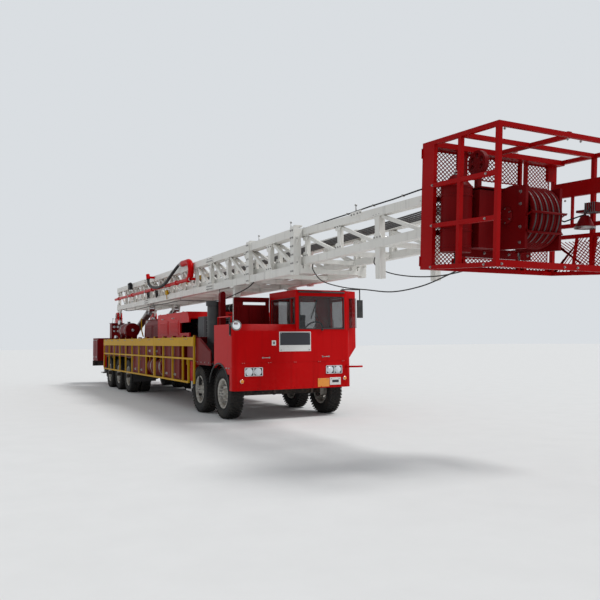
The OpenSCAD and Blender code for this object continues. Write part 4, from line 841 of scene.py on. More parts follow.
def add_rim(kit, y, dish, bore):
    """A pressed disc wheel: gutter, dished disc with hand holes, lock ring."""
    centre = Vector((0, y, 0))
    h = TYRE_W / 2 - 0.022
    half = [(-0.02, -h), (0.012, -h), (0.012, 0.012 - h), (-0.004, 0.02 - h), (-0.012, 0.05 - h)]
    section = half + [(r, -z) for r, z in reversed(half)] + [(-0.03, h - 0.05), (-0.03, 0.05 - h), half[0]]
    kit.turned([(RIM_R + r, z) for r, z in section], centre, LEFT, 48, RIM)
    lean = copysign(1.0, dish)
    made = bmesh.new()
    steps = 60
    rings = [(RIM_R - 0.026, dish - lean * 0.055), (0.236, dish - lean * 0.03), (0.168, dish - lean * 0.004),
             (0.15, dish), (bore, dish)]
    for thick in (0, -lean * 0.012):
        rows = [[made.verts.new((r * cos(a), z + thick, r * sin(a)))
                 for a in [2 * pi * i / steps for i in range(steps)]] for r, z in rings]
        for k, (below, above) in enumerate(zip(rows, rows[1:])):
            for i in range(steps):
                if k == 1 and i % 6 in (2, 3):
                    continue
                j = (i + 1) % steps
                made.faces.new((below[i], below[j], above[j], above[i]))
    bmesh.ops.recalc_face_normals(made, faces=made.faces)
    kit.take(made, RIM, False, Matrix.Translation(centre))


def add_nuts(kit, y, radius, count=10):
    """Wheel nuts in a ring, on their studs."""
    marks, studs = [], []
    for i in range(count):
        a = 2 * pi * i / count
        place = Vector((radius * cos(a), y, radius * sin(a)))
        marks.append((place, facing(LEFT, a), (0.033, 0.033, 0.03)))
        studs.append((place + Vector((0, 0.026, 0)), facing(LEFT), (0.018, 0.018, 0.03)))
    kit.copies("bolt", marks, STEEL)
    kit.copies("strand", studs, STEEL)


class RIG_OT_wheels(bpy.types.Operator):
    """Makes the tyres, rims, hubs and nuts of the ten wheels"""

    bl_idname = "rig.wheels"
    bl_label = "Wheels"

    def execute(self, context):
        sizes = context.scene.rig_sizes
        for axle, s in enumerate(AXLES):
            for letter, side in SIDES:
                kit = Kit("tyre", RIM, STEEL, CHASSIS)
                if axle > 1:
                    inner, face = TRACK - TWIN, TRACK - 0.085
                    add_tyre(kit, TRACK, sizes, 0.3)
                    add_tyre(kit, inner, sizes, 0.7)
                    add_rim(kit, TRACK, -0.085, 0.13)
                    add_rim(kit, inner, 0.085, 0.13)
                    kit.turned([(0, 0), (0.132, 0), (0.132, 0.06), (0.118, 0.085), (0.1, 0.09), (0.096, 0.13),
                                (0.07, 0.136), (0, 0.136)], Vector((0, face - 0.01, 0)), LEFT, 32, RIM)
                    kit.turned([(0, 0), (0.15, 0), (0.16, 0.02), (0.16, 0.16), (0, 0.16)],
                               Vector((0, inner - 0.13, 0)), LEFT, 32, CHASSIS)
                    add_nuts(kit, face, 0.168)
                    add_nuts(kit, face + 0.078, 0.082, 8)
                else:
                    add_tyre(kit, TRACK, sizes, 0.3)
                    add_rim(kit, TRACK, 0.07, 0.09)
                    kit.turned([(0, -0.19), (0.13, -0.19), (0.135, -0.02), (0.1, 0), (0.092, 0.03), (0.084, 0.085),
                                (0.07, 0.1), (0.05, 0.106), (0, 0.108)], Vector((0, TRACK + 0.05, 0)), LEFT, 32, RIM)
                    add_nuts(kit, TRACK + 0.07, 0.168)
                    add_nuts(kit, TRACK + 0.145, 0.06, 6)
                turn = Matrix.Rotation(0 if side > 0 else pi, 4, "Z")
                name = "wheel_%d%s" % (axle + 1, letter)
                kit.done("dressed_" + name, name, [name], Matrix.Translation(at(s, 0, TYRE_R)) @ turn)
        return {"FINISHED"}


# ---------------------------------------------------------------- guard mesh and rigging


def lattice(kit, sizes, place, width, height):
    """Expanded metal in the XY plane of a matrix: two families of slanted strands, cut to the panel."""
    run = sizes.mesh_pitch / sizes.mesh_rise
    marks = []
    for lean in (-1, 1):
        x = -height * run if lean > 0 else 0
        while x < width + (height * run if lean < 0 else 0):
            a, b = sorted((-x / (lean * run), (width - x) / (lean * run)))
            low, high = max(0, a), min(height, b)
            if high - low > 0.01:
                p = Vector((x + lean * run * low, low, 0))
                q = Vector((x + lean * run * high, high, 0))
                turn = place.to_3x3() @ (q - p).to_track_quat("Z", "X").to_matrix()
                size = (sizes.mesh_strand, sizes.mesh_strand * 1.8, (q - p).length)
                marks.append((place @ ((p + q) / 2), turn, size))
            x += sizes.mesh_pitch
    kit.copies("block", marks)


class RIG_OT_guard_mesh(bpy.types.Operator):
    """Fills the crown cage's back and its lower left side with expanded metal"""

    bl_idname = "rig.guard_mesh"
    bl_label = "Guard mesh"

    def execute(self, context):
        sizes = context.scene.rig_sizes
        # the mesh takes the crown's red, darkened as painted shade
        kit = Kit(CROWN_RED_PAINTED_SHADE)
        for y0, y1, z0, z1 in ((-1.025, -0.565, 0.05, 1.435), (0.565, 0.975, 0.05, 1.435),
                               (-0.43, 0.43, 1.14, 1.435), (-0.43, 0.43, 0.05, 0.18)):
            # the panel's X runs left and its Y up the crown's plane
            panel = CROWN @ Matrix(((0, 0, 1, 0.012), (1, 0, 0, y0), (0, 1, 0, z0), (0, 0, 0, 1)))
            lattice(kit, sizes, panel, y1 - y0, z1 - z0)
            for a, b, c, d in border(y0, y1, z0, z1, 0.016):
                kit.sized((0.006, b - a, d - c), CROWN @ moved(0.018, (a + b) / 2, (c + d) / 2), 0.001)
        side = CROWN @ Matrix(((1, 0, 0, 0.05), (0, 0, 1, 1.05), (0, 1, 0, 0.05), (0, 0, 0, 1)))
        lattice(kit, sizes, side, 1.18, 0.42)
        kit.done("guard_mesh", "upper_mast")
        return {"FINISHED"}


def wound_rope(kit, centre, radius, reach, rope):
    """Rope wound on a drum, as touching turns."""
    count = max(1, int(round(2 * reach / rope)))
    step = 2 * reach / count
    profile = [(radius - rope, -reach)]
    for i in range(count):
        z = -reach + 2 * reach * i / count
        profile += [(radius - rope * 0.3, z + 0.02 * step), (radius - rope * 0.02, z + step * 0.3),
                    (radius, z + step * 0.5), (radius - rope * 0.02, z + step * 0.7)]
    profile += [(radius - rope * 0.3, reach), (radius - rope, reach)]
    kit.turned(profile + profile[:1], centre, LEFT, 40)


class RIG_OT_rigging(bpy.types.Operator):
    """Reeves the drilling line over the crown sheaves to the travelling block, and winds the drum"""

    bl_idname = "rig.rigging"
    bl_label = "Rigging"

    def execute(self, context):
        sizes = context.scene.rig_sizes
        rope = sizes.rope
        kit = Kit(ROPE, where=on_crown)
        for i in range(5):
            y = (i - 2) * SHEAVE_PITCH
            arc = circle(SHEAVE_X, y, SHEAVE_Z, 0.33 + rope / 2, fan(-60, 90, 20))
            kit.tube(arc + [(0, y, 0.974 + rope / 2), at(6.42, y * 0.62, 3.2)], rope / 2)
        kit.done("drilling_lines", "upper_mast")
        block = Kit(YELLOW, STEEL)
        block_s, block_z = 6.6, 3.2
        for y in (-0.17, 0.17):
            block.plate([(6.2, 3.04), (6.3, 2.985), (6.95, 2.985), (7.1, 3.1), (7.1, 3.3), (6.95, 3.42), (6.3, 3.42),
                         (6.2, 3.36)], y - 0.012, y + 0.012, soft=0.004)
        for i in range(4):
            block.turned([(0.03, -0.022), (0.19, -0.022), (0.2, -0.016), (0.175, 0), (0.2, 0.016), (0.19, 0.022),
                          (0.03, 0.022), (0.03, -0.022)], (block_s, (i - 1.5) * 0.075, block_z), LEFT, 40, STEEL)
        block.turned(rod(0.05, -0.2, 0.2), (block_s, 0, block_z), LEFT, 20, STEEL)
        block.block((7.08, -0.06, 3.14), (7.3, 0.06, 3.26), 0.02, steps=2)
        hook_s, bend = 7.3, 0.14
        hook = [(hook_s + bend * (1 - cos(a)), bend * sin(a) * 0.6, block_z) for a in fan(0, 200, 14)]
        block.tube([(hook_s - 0.04, 0, block_z)] + hook, 0.03, 10)
        for s in (6.3, 6.95):
            block.block((s - 0.03, -0.19, 2.972), (s + 0.03, 0.19, 2.99))
        block.done("travelling_block", "upper_mast")
        drum = Kit(ROPE, STEEL)
        place = at(9.1, 0, 2.0)
        wound_rope(drum, place, 0.19 + rope * 2.4, 0.466, rope)
        for side in (-1, 1):
            marks = [(place + Vector((0.27 * cos(a), side * 0.505, 0.27 * sin(a))),
                      facing((0, side, 0), a), (sizes.bolt, sizes.bolt, sizes.bolt)) for a in full_round(12)]
            drum.copies("bolt", marks, STEEL)
        drum.done("drum_rope", "drum")
        return {"FINISHED"}


# ---------------------------------------------------------------- nose and cab


def framed(kit, s0, s1, y, z0, z1, width, thick):
    """A rubber frame round an opening in a side wall at y."""
    for a, b, c, d in border(s0 - width, s1 + width, z0 - width, z1 + width, width, width):
        kit.block((a, y - thick / 2, c), (b, y + thick / 2, d), 0.003)


def framed_front(kit, s, y0, y1, z0, z1, width):
    """A rubber frame round an opening in a front or back wall at s."""
    for a, b, c, d in border(y0 - width, y1 + width, z0 - width, z1 + width, width, width):
        kit.block((s - 0.01, a, c), (s + 0.01, b, d), 0.003)


class RIG_OT_lamps(bpy.types.Operator):
    """Makes the headlamps, markers, rear lamps and blank plates"""

    bl_idname = "rig.lamps"
    bl_label = "Lamps and plates"

    def execute(self, context):
        kit = Kit(CHROME, CLEAR, AMBER, PLASTIC)
        for side in (-1, 1):
            y, z = side * 0.885, 0.95
            for a, b, c, d in ((-0.19, 0.19, -0.085, -0.069), (-0.19, 0.19, 0.069, 0.085),
                               (-0.19, -0.172, -0.085, 0.085), (0.172, 0.19, -0.085, 0.085),
                               (-0.011, 0.011, -0.085, 0.085)):
                kit.block((-0.014, y + a, z + c), (0.008, y + b, z + d), 0.005, steps=2)
            kit.block((0.016, y - 0.186, z - 0.081), (0.022, y + 0.186, z + 0.081), 0, PLASTIC)
            for k in (-1, 1):
                kit.turned([(0, -0.016), (0.03, -0.013), (0.05, -0.004), (0.064, 0.014), (0.072, 0.018),
                            (0.076, 0.012)], (0.012, y + k * 0.0915, z), AHEAD, 28)
                kit.turned([(0, 0.026), (0.03, 0.024), (0.055, 0.018), (0.07, 0.008), (0.07, 0), (0, 0)],
                           (0.004, y + k * 0.0915, z), AHEAD, 28, CLEAR)
                for e in (0.2, 1):
                    for f in (-1, 1):
                        kit.turned([(0, 0), (0.006, 0), (0.005, 0.004), (0, 0.005)],
                                   (-0.014, y + k * 0.15 * e, z + f * 0.077), AHEAD, 10)
            marker = at(0, side * 1.13, 0.77)
            kit.turned(cap(0.042, 0.012, 0.037, 0.02), marker, AHEAD, 24)
            kit.turned([(0.035, 0.018), (0.034, 0.028), (0.026, 0.038), (0, 0.043)], marker, AHEAD, 24, AMBER)
        kit.done("head_lamps", "carrier", ["lamps"])
        plates = Kit(PLATE, PLATE_BLACK, PLATE_ORANGE, STEEL)
        plates.block((-0.006, -0.34, 1.33), (0, 0.36, 1.72), 0.006, steps=2)
        plates.block((-0.009, -0.322, 1.455), (-0.005, 0.342, 1.704), 0.003, PLATE_BLACK)
        plates.block((-0.008, -0.5, 1.45), (0, -0.41, 1.55), 0.003)
        plates.block((-0.009, -0.47, 1.475), (-0.007, -0.44, 1.525), 0, PLATE_BLACK)
        plates.block((-0.006, 0.51, 0.61), (0, 0.775, 0.78), 0.003, PLATE_ORANGE)
        plates.block((-0.006, 0.785, 0.64), (0, 1.04, 0.79), 0.003)
        plates.block((-0.008, 0.84, 0.69), (-0.005, 0.99, 0.74), 0, PLATE_BLACK)
        places = [(-0.009, y, z) for y in (-0.3, 0.32) for z in (1.36, 1.69)]
        plates.bolts(places + [(-0.007, y, 0.765) for y in (0.55, 0.735, 0.82, 1.0)], AHEAD, 0.014)
        plates.done("blank_plates", "carrier")
        rear = Kit(RED_LENS, AMBER, PLASTIC, PLATE)
        for side in (-1, 1):
            for y, colour in ((1.18, RED_LENS), (1.04, AMBER), (0.9, RED_LENS)):
                place = (15.0, side * y, 0.75)
                rear.turned(cap(0.058, 0.012, 0.05, 0.016), place, BACK, 20, PLASTIC)
                rear.turned([(0.048, 0.014), (0.044, 0.024), (0.02, 0.029), (0, 0.03)], place, BACK, 20, colour)
            for s in (4.3, 6.0, 7.6, 9.9, 11.3, 14.4):
                y, colour = (1.28, AMBER) if s < 12 else (1.3, RED_LENS)
                rear.block((s - 0.05, side * y - 0.008, 1.52), (s + 0.05, side * y + 0.008, 1.55), 0.003, colour)
        rear.block((15.0, -0.18, 0.7), (15.004, 0.18, 0.8), 0.003, PLATE)
        rear.done("side_and_rear_lamps", "carrier")
        return {"FINISHED"}


class RIG_OT_cab_trim(bpy.types.Operator):
    """Trims the nose and cab: window rubbers, wiper, handles, mirrors and steps"""

    bl_idname = "rig.cab_trim"
    bl_label = "Cab trim"

    def execute(self, context):
        seals = Kit(PLASTIC)
        framed_front(seals, 0, 0.12, 1.12, 1.79, 2.41, 0.022)
        framed_front(seals, 1.28, 0.23, 1.15, 1.8, 2.39, 0.02)
        framed(seals, 0.28, 1.155, 0.03, 1.8, 2.39, 0.02, 0.02)
        framed(seals, 0.06, 0.21, 0.03, 1.89, 2.39, 0.02, 0.02)
        pivot, tip = at(-0.03, 0.62, 1.76), at(-0.035, 0.42, 2.16)
        seals.tube([(0, 0.62, 1.76), pivot, pivot.lerp(tip, 0.5) + Vector((0.02, 0, 0)), tip], 0.006)
        seals.beam((-0.016, 0.36, 1.98), (-0.016, 0.5, 2.36), 0.01, 0.022, 0.002)
        seals.turned([(0, 0), (0.022, 0), (0.018, 0.03), (0, 0.034)], (0, 0.62, 1.76), AHEAD, 16)
        seals.block((0, 0.08, 2.5), (-0.05, 1.14, 2.53), 0.008)
        seals.done("cab_seals", "carrier")

        kit = Kit(RED, STEEL, PLASTIC, DARK, CHROME)
        for y in (-0.62, 0.7):
            kit.handle((0, y - 0.07, 1.215), (0, y + 0.07, 1.215), (0.045, 0, 0), 0.008)
        for y in (-1.1, -0.55, 0, 0.55, 1.1):
            kit.block((-0.006, y - 0.035, 1.1), (0, y + 0.035, 1.14), 0.003)
            kit.bolts([(-0.006, y + e, 1.12) for e in (-0.02, 0.02)], AHEAD, 0.009)
        kit.bolts([(0, y, 0.62) for y in spread(-1.17, 0.195, 13)], AHEAD, 0.018, RED)
        for side in (-1, 1):
            arch = [p for p in circle(0.79, side * 1.302, 0.5, 0.6, fan(18, 162, 24)) if p[0] > 0.12]
            kit.tube(arch, 0.016, 8, PLASTIC)
            kit.bolts([(s, side * 1.3, 1.02) for s in (0.2, 0.24, 0.34, 0.38)], (0, side, 0), 0.022)
        kit.tube([(-0.02, 1.2, 1.0), (-0.1, 1.36, 1.0), (-0.1, 1.5, 1.0)], 0.02, 10)
        kit.turned(rod(0.03, 0, 0.04), (-0.02, 1.2, 1.0), (0.4, -1, 0), 14)
        # cowl hinge, roof gutter and roof vent
        kit.tube([(0.02, 0.05, 2.545), (0.02, 1.17, 2.545), (0.16, 1.49, 2.545), (1.26, 1.49, 2.545)], 0.012)
        kit.block((0.5, 0.5, 2.56), (0.9, 0.95, 2.6), 0.02, steps=2)
        kit.turned([(0, 0), (0.055, 0), (0.05, 0.06), (0.035, 0.075), (0, 0.08)], (0.3, 1.3, 2.56), UP, 20, CHROME)
        kit.handle((1.2, 1.5, 1.55), (1.2, 1.5, 2.0), (0, 0.06, 0), 0.012)
        for z in (0.62, 0.9):
            kit.block((1.36, 0.98, z), (1.62, 1.27, z + 0.03), 0.006, PLASTIC)
        for s in (1.375, 1.595):
            for y in (0.98, 1.255):
                kit.block((s, y, 0.62), (s + 0.02, y + 0.02, 1.1), 0.003, PLASTIC)
        # rail of the open well, and the back panel's ribs
        kit.tube([(0.16, -1.28, 1.87), (0.16, -1.28, 2.02), (0.9, -1.28, 2.02), (0.9, -1.28, 1.87)], 0.014)
        for y in (-0.7, -0.42, -0.14):
            kit.block((1.262, y - 0.02, 1.2), (1.286, y + 0.02, 2.28), 0.006, DARK)
        kit.block((1.262, -0.78, 2.41), (1.286, 0.02, 2.47), 0.006, DARK)
        kit.done("cab_trim", "carrier")

        door = Kit(PLASTIC, STEEL, RED)
        framed(door, 0.486, 1.134, 1.5, 1.82, 2.384, 0.018, 0.012)
        door.block((1.0, 1.5, 1.62), (1.12, 1.512, 1.68))
        door.handle((1.02, 1.51, 1.65), (1.11, 1.51, 1.65), (0, 0.03, 0), 0.007)
        door.block((0.5, 1.5, 1.48), (1.1, 1.504, 1.58), 0.003, RED)
        door.done("door_trim", "cab_door")

        glass = Kit(MIRROR, STEEL)
        centre = at(-0.5, -1.445, 1.83)
        glass.turned([(0, 0.012), (0.04, 0.0105), (0.07, 0.006), (0.089, 0), (0, -0.002)],
                     centre + Vector((0.041, 0, 0)), AHEAD, 36)
        glass.turned([(0.088, 0.036), (0.095, 0.036), (0.095, 0.046), (0.088, 0.046), (0.088, 0.036)], centre, AHEAD,
                     36, STEEL, smooth=False)
        glass.block((-0.049, 1.43, 2.02), (-0.046, 1.53, 2.36), 0.002)
        glass.bolts([(s, -1.312, z) for z in (1.66, 1.84) for s in (0.128, 0.152)], (0, -1, 0), 0.014)
        glass.bolts([(0.03, 1.115, 2.58), (0.07, 1.15, 2.58)], UP, 0.014)
        glass.done("mirror_faces", "carrier")
        return {"FINISHED"}


def blown_up(piece):
    """Swells a pad as cloth under pressure, and keeps its shape."""
    cloth = piece.modifiers.new("cloth", "CLOTH").settings
    cloth.use_pressure = True
    cloth.uniform_pressure_force = 4.0
    cloth.effector_weights.gravity = 0
    cloth.quality = 4
    for step in range(1, 21):
        bpy.context.scene.frame_set(step)
    blown = plain_mesh(piece)
    piece.modifiers.clear()
    piece.data = blown
    bpy.context.scene.frame_set(1)


def pad(name, low, high):
    """A stuffed pad: a block, remeshed, blown up as cloth and capped, with sewn channels."""
    size = Vector([high[i] - low[i] for i in range(3)])
    centre = at(*[(low[i] + high[i]) / 2 for i in range(3)])
    made = bmesh.new()
    bmesh.ops.create_cube(made, size=1.0, matrix=Matrix.Translation(centre) @ Matrix.Diagonal((size * 0.94).to_4d()))
    bmesh.ops.bevel(made, geom=list(made.edges), offset=0.022, segments=3, profile=0.5, affect="EDGES")
    mesh = bpy.data.meshes.new(name)
    made.to_mesh(mesh)
    made.free()
    piece = bpy.data.objects.new(name, mesh)
    bpy.context.scene.collection.objects.link(piece)
    remesh = piece.modifiers.new("remesh", "REMESH")
    remesh.mode, remesh.voxel_size = "VOXEL", 0.007
    fine = plain_mesh(piece)
    piece.modifiers.clear()
    piece.data = fine
    start = [v.co.copy() for v in fine.vertices]
    blown_up(piece)
    furthest = 0.012
    lying = size.x > size.z
    for vertex, was in zip(piece.data.vertices, start):
        step = vertex.co - was
        vertex.co = was + (step.normalized() * furthest if step.length > furthest else step)
        # sewn channels across the pad, drawn in from its face
        rel = vertex.co - centre
        if (rel.z if lying else rel.x) > 0:
            along = rel.x / size.x if lying else rel.z / size.z
            depth = 0.009 * max(exp(-((along - k) * 26) ** 2) for k in (-0.25, 0, 0.25))
            vertex.co -= Vector(UP if lying else AHEAD) * depth
    for polygon in piece.data.polygons:
        polygon.use_smooth = True
    piece.data.materials.clear()
    piece.data.materials.append(material("seat_vinyl"))
    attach(piece, "carrier")


class RIG_OT_cab_inside(bpy.types.Operator):
    """Makes the padded seat, steering wheel, dashboard and pedals"""

    bl_idname = "rig.cab_inside"
    bl_label = "Cab interior"

    def execute(self, context):
        pad("seat_cushion", (0.66, 0.44, 1.495), (1.1, 0.86, 1.6))
        pad("seat_back", (1.12, 0.45, 1.52), (1.2, 0.85, 2.13))
        y = 0.65
        under = Kit(CHASSIS, PLASTIC)
        under.block((0.66, y - 0.22, 1.46), (1.12, y + 0.22, 1.492), 0.01)
        under.block((1.19, y - 0.19, 1.5), (1.212, y + 0.19, 2.1), 0.008)
        for k in range(5):
            inset = k * 0.008
            under.block((0.76 + inset, y - 0.13 + inset, 1.2 + k * 0.05),
                        (1.0 - inset, y + 0.13 - inset, 1.245 + k * 0.05), 0.012, PLASTIC, steps=2)
        under.done("seat_frame", "carrier", ["seat"])

        kit = Kit(PLASTIC, STEEL, CLEAR, CHASSIS)
        kit.block((0.1, 0.09, 1.19), (0.3, 1.12, 1.66), 0.03, steps=3)
        kit.block((0.12, 0.09, 1.64), (0.38, 1.12, 1.7), 0.02, steps=3)
        for dy, r in ((-0.2, 0.045), (-0.08, 0.06), (0.08, 0.06), (0.2, 0.045)):
            place = at(0.3, y + dy, 1.56)
            rim = [(0, 0), (r, 0), (r, 0.012), (r - 0.006, 0.014), (r - 0.008, 0.006), (0, 0.006)]
            kit.turned(rim, place, BACK, 24, STEEL)
            # the dial glass takes the clear lens finish, whose faint glow is painted light
            kit.turned([(0, 0), (r - 0.009, 0), (0, 0.003)], place + Vector((-0.006, 0, 0)), BACK, 24, CLEAR)
        for k in range(8):
            place = at(0.3, (0.2 if k < 4 else 0.7) + 0.05 * k, 1.44)
            kit.beam(place, place + Vector((-0.03, 0, 0.012)), 0.008, 0.008, 0.002, STEEL)
        # steering wheel, its spokes and its column
        centre = at(0.44, y, 1.757)
        axis = Matrix.Rotation(radians(-54), 3, "Y") @ Vector(UP)
        kit.turned(hoop(0.21, 0.016, 10), centre, axis, 40)
        kit.turned([(0, -0.03), (0.045, -0.03), (0.05, 0), (0.04, 0.02), (0, 0.025)], centre, axis, 20)
        for a in full_round(3, 90):
            out = facing(axis) @ Vector((cos(a), sin(a), 0))
            kit.tube([centre + out * 0.04, centre + out * 0.12 - axis * 0.01, centre + out * 0.205], 0.009, 8, STEEL)
        kit.tube([centre - axis * 0.02, centre - axis * 0.25], 0.03, 12)
        # pedals, and the lever in its gaiter
        for dy, name in ((-0.16, PLASTIC), (0, PLASTIC), (0.18, STEEL)):
            kit.block((0.32, y + dy - 0.035, 1.26), (0.34, y + dy + 0.035, 1.36), 0.006, name)
            kit.tube([(0.33, y + dy, 1.3), (0.3, y + dy, 1.2)], 0.008, 6, CHASSIS)
        kit.tube([(0.62, 0.26, 1.19), (0.6, 0.26, 1.62)], 0.012, 8, STEEL)
        kit.turned([(0, 0), (0.02, 0.005), (0.027, 0.025), (0.02, 0.045), (0, 0.05)], (0.6, 0.26, 1.61), UP, 16)
        kit.block((0.5, 0.2, 1.19), (0.74, 0.32, 1.26), 0.015, steps=2)
        kit.done("cab_controls", "carrier", ["controls"])
        return {"FINISHED"}


# ---------------------------------------------------------------- carrier and deck


def door_panel(kit, side, s0, s1, y, z0, z1):
    """A raised door on a side wall, with its hinges and handle."""
    out = side * 0.012
    kit.block((s0, y, z0), (s1, y + out, z1), 0.01, steps=2)
    for s in (s0 + 0.12, s1 - 0.12):
        kit.tube([(s - 0.05, y + out * 1.4, z1 - 0.006), (s + 0.05, y + out * 1.4, z1 - 0.006)], 0.011, 10, STEEL)
    mid = (s0 + s1) / 2
    kit.block((mid - 0.07, y + out, z0 + 0.05), (mid + 0.07, y + out * 1.4, z0 + 0.11), 0.004, STEEL)
    kit.handle((mid - 0.045, y + out, z0 + 0.08), (mid + 0.045, y + out, z0 + 0.08), (0, side * 0.03, 0), 0.006)


def louvres(kit, side, s0, s1, y, z, tall, count, width):
    """Slanted slats on a side wall, from s0 to s1 and stacked upwards from z."""
    a, b, up = at(s0, y, z), at(s1, y, z), Vector((0, 0, tall))
    base = Matrix(((b - a).normalized(), Vector(UP), Vector((0, side, 0)))).transposed()
    turn = base @ Matrix.Rotation(radians(32), 3, "X")
    size = ((b - a).length, width, 0.004)
    kit.copies("block", [((a + b) / 2 + up * (i + 0.5) / count, turn, size) for i in range(count)])


def gauge(kit, place, radius):
    kit.turned([(0, 0), (radius, 0), (radius, 0.018), (radius * 0.86, 0.02), (radius * 0.84, 0.012), (0, 0.012)], place,
               AHEAD, 20, STEEL)
    # the gauge glass takes the clear lens finish, whose faint glow is painted light
    kit.turned([(0, 0.0125), (radius * 0.84, 0.0125), (0, 0.014)], place, AHEAD, 20, CLEAR)


class RIG_OT_deck(bpy.types.Operator):
    """Dresses the deck: tread plates, louvres, muffler, radiator, fan and cooler grilles"""

    bl_idname = "rig.deck"
    bl_label = "Deck"

    def execute(self, context):
        floor = Kit("tread_plate", STEEL)
        low = DECK_TOP - 0.003
        for side in (-1, 1):
            for s0, s1, inner in ((2.32, 2.86, 1.01), (3.38, 6.25, 1.115), (6.35, 8.25, 1.01), (8.35, 10.05, 0.72),
                                  (11.65, 12.1, 0.72)):
                floor.block((s0, side * inner, low), (s1, side * 1.29, DECK_TOP), 0)
                floor.bolts([(s, side * y, DECK_TOP) for s in (s0 + 0.04, (s0 + s1) / 2, s1 - 0.04)
                             for y in (inner + 0.03, 1.26)], UP, 0.016)
        floor.block((8.45, -0.49, low), (12.5, 0.49, DECK_TOP), 0)
        floor.block((1.35, -0.74, 1.1), (1.6, 0.01, 1.133), 0)
        floor.block((0.2, -1.18, 1.1295), (1.26, 0, 1.1325), 0)
        floor.done("tread_plates", "carrier")
        self.hood()
        self.radiator()
        self.cooler()
        return {"FINISHED"}

    def hood(self):
        """Louvres, frames, handles and hinges of the hood, its roof plates, and the muffler on it."""
        hood = Kit(RED, STEEL, CHASSIS)
        wall, roof = 1.1, 2.268
        for side in (-1, 1):
            y = side * wall
            for s0, s1 in ((4.24, 5.16), (5.2, 6.12)):
                ends = (4.3, 5.1) if s0 < 5 else (5.25, 6.05)
                louvres(hood, side, *ends, y + side * 0.004, 1.74, 0.3, 9, 0.03)
                for a, b, c, d in border(s0, s1, 1.7, 2.08, 0.015):
                    hood.block((a, y, c), (b, y + side * 0.006, d), 0.002)
                mid = (s0 + s1) / 2
                hood.handle((mid - 0.06, y, 2.13), (mid + 0.06, y, 2.13), (0, side * 0.035, 0), 0.008)
            for s in (3.9, 4.6, 5.3, 6.0):
                hood.tube([(s - 0.05, y * 0.99, 2.262), (s + 0.05, y * 0.99, 2.262)], 0.012, 10)
        for s in (4.0, 5.0):
            hood.block((s, -0.85, 2.26), (s + 0.8, 0.85, roof), 0.003)
            for a in spread(s + 0.06, 0.08, 9):
                hood.block((a, -0.7, roof), (a + 0.04, 0.7, roof + 0.01))
        # muffler with its straps, and its pipes in and out
        y, z = 0.62, 2.42
        hood.turned([(0, -0.55), (0.11, -0.55), (0.125, -0.53), (0.125, 0.53), (0.11, 0.55), (0, 0.55)], (5.3, y, z),
                    AHEAD, 28, CHASSIS)
        for s in (4.95, 5.65):
            hood.block((s - 0.03, y - 0.1, roof), (s + 0.03, y + 0.1, 2.32), 0.004, STEEL)
            hood.turned(band(0.127, 0.132, 0.02), (s, y, z), AHEAD, 28, STEEL, smooth=False)
        hood.tube([(5.84, y, z), (5.98, y, z), (6.06, y, 2.45), (6.1, y, 2.52), (6.1, y, 2.62)], 0.045, 14, STEEL)
        hood.tube([(4.76, y, z), (4.66, y, z), (4.6, y, 2.38), (4.58, y, 2.26)], 0.05, 14, STEEL)
        hood.done("hood_trim", "carrier")

    def radiator(self):
        """The radiator's fins and filler, the fan, belts and pulleys behind it, and the engine's pipes."""
        grille = Kit(CHASSIS, STEEL, RED)
        middle, fins = 1.88, 67
        grille.copies("block", [(at(2.945, y, middle), Matrix.Identity(3), (0.02, 0.004, 0.355))
                                for y in spread(-0.83, 1.66 / (fins - 1), fins)])
        for z in (1.74, 1.84, 1.94, 2.03):
            grille.block((2.925, -0.838, z - 0.006), (2.937, 0.838, z + 0.006), 0, STEEL)
        for y in (-0.4, 0, 0.4):
            grille.block((2.915, y - 0.012, 1.7), (2.945, y + 0.012, 2.06), 0.003, STEEL)
        grille.turned(cap(0.05, 0.035, 0.035, 0.045), (3.1, 0.3, 2.12), UP, 18, STEEL)
        hub = at(3.45, 0, middle)
        grille.turned(rod(0.1, -0.06, 0.06), hub, AHEAD, 24, STEEL)
        for a in full_round(8, 10):
            out = Vector((0, cos(a), sin(a)))
            grille.sized((0.09, 0.006, 0.24), Matrix.Translation(hub + out * 0.2) @ facing(out, 0.6).to_4x4(), 0.002)
        for y, z, r in ((0, middle, 0.09), (-0.25, 1.75, 0.06), (0.3, 1.78, 0.07)):
            grille.turned([(r - 0.03, -0.02), (r, -0.02), (r - 0.012, 0), (r, 0.02), (r - 0.03, 0.02),
                           (r - 0.03, -0.02)], (3.62, y, z), AHEAD, 24, STEEL)
        for side in (-1, 1):
            for s in spread(3.75, 0.11, 4):
                grille.tube([(s, side * 0.45, 1.98), (s, side * 0.56, 1.98), (s, side * 0.6, 1.92)], 0.022, 10, STEEL)
            grille.tube([(3.7, side * 0.6, 1.92), (4.9, side * 0.6, 1.92)], 0.045, 12, STEEL)
            grille.tube([(3.33, side * 0.7, 1.8), (3.5, side * 0.7, 1.8), (3.6, side * 0.62, 1.8),
                         (3.7, side * 0.46, 1.8)], 0.035, 12)
            grille.turned([(0, -0.12), (0.05, -0.12), (0.055, -0.1), (0.055, 0.1), (0, 0.12)],
                          (3.95, side * 0.52, 1.78), UP, 18, RED)
        grille.done("radiator_and_fan", "carrier")

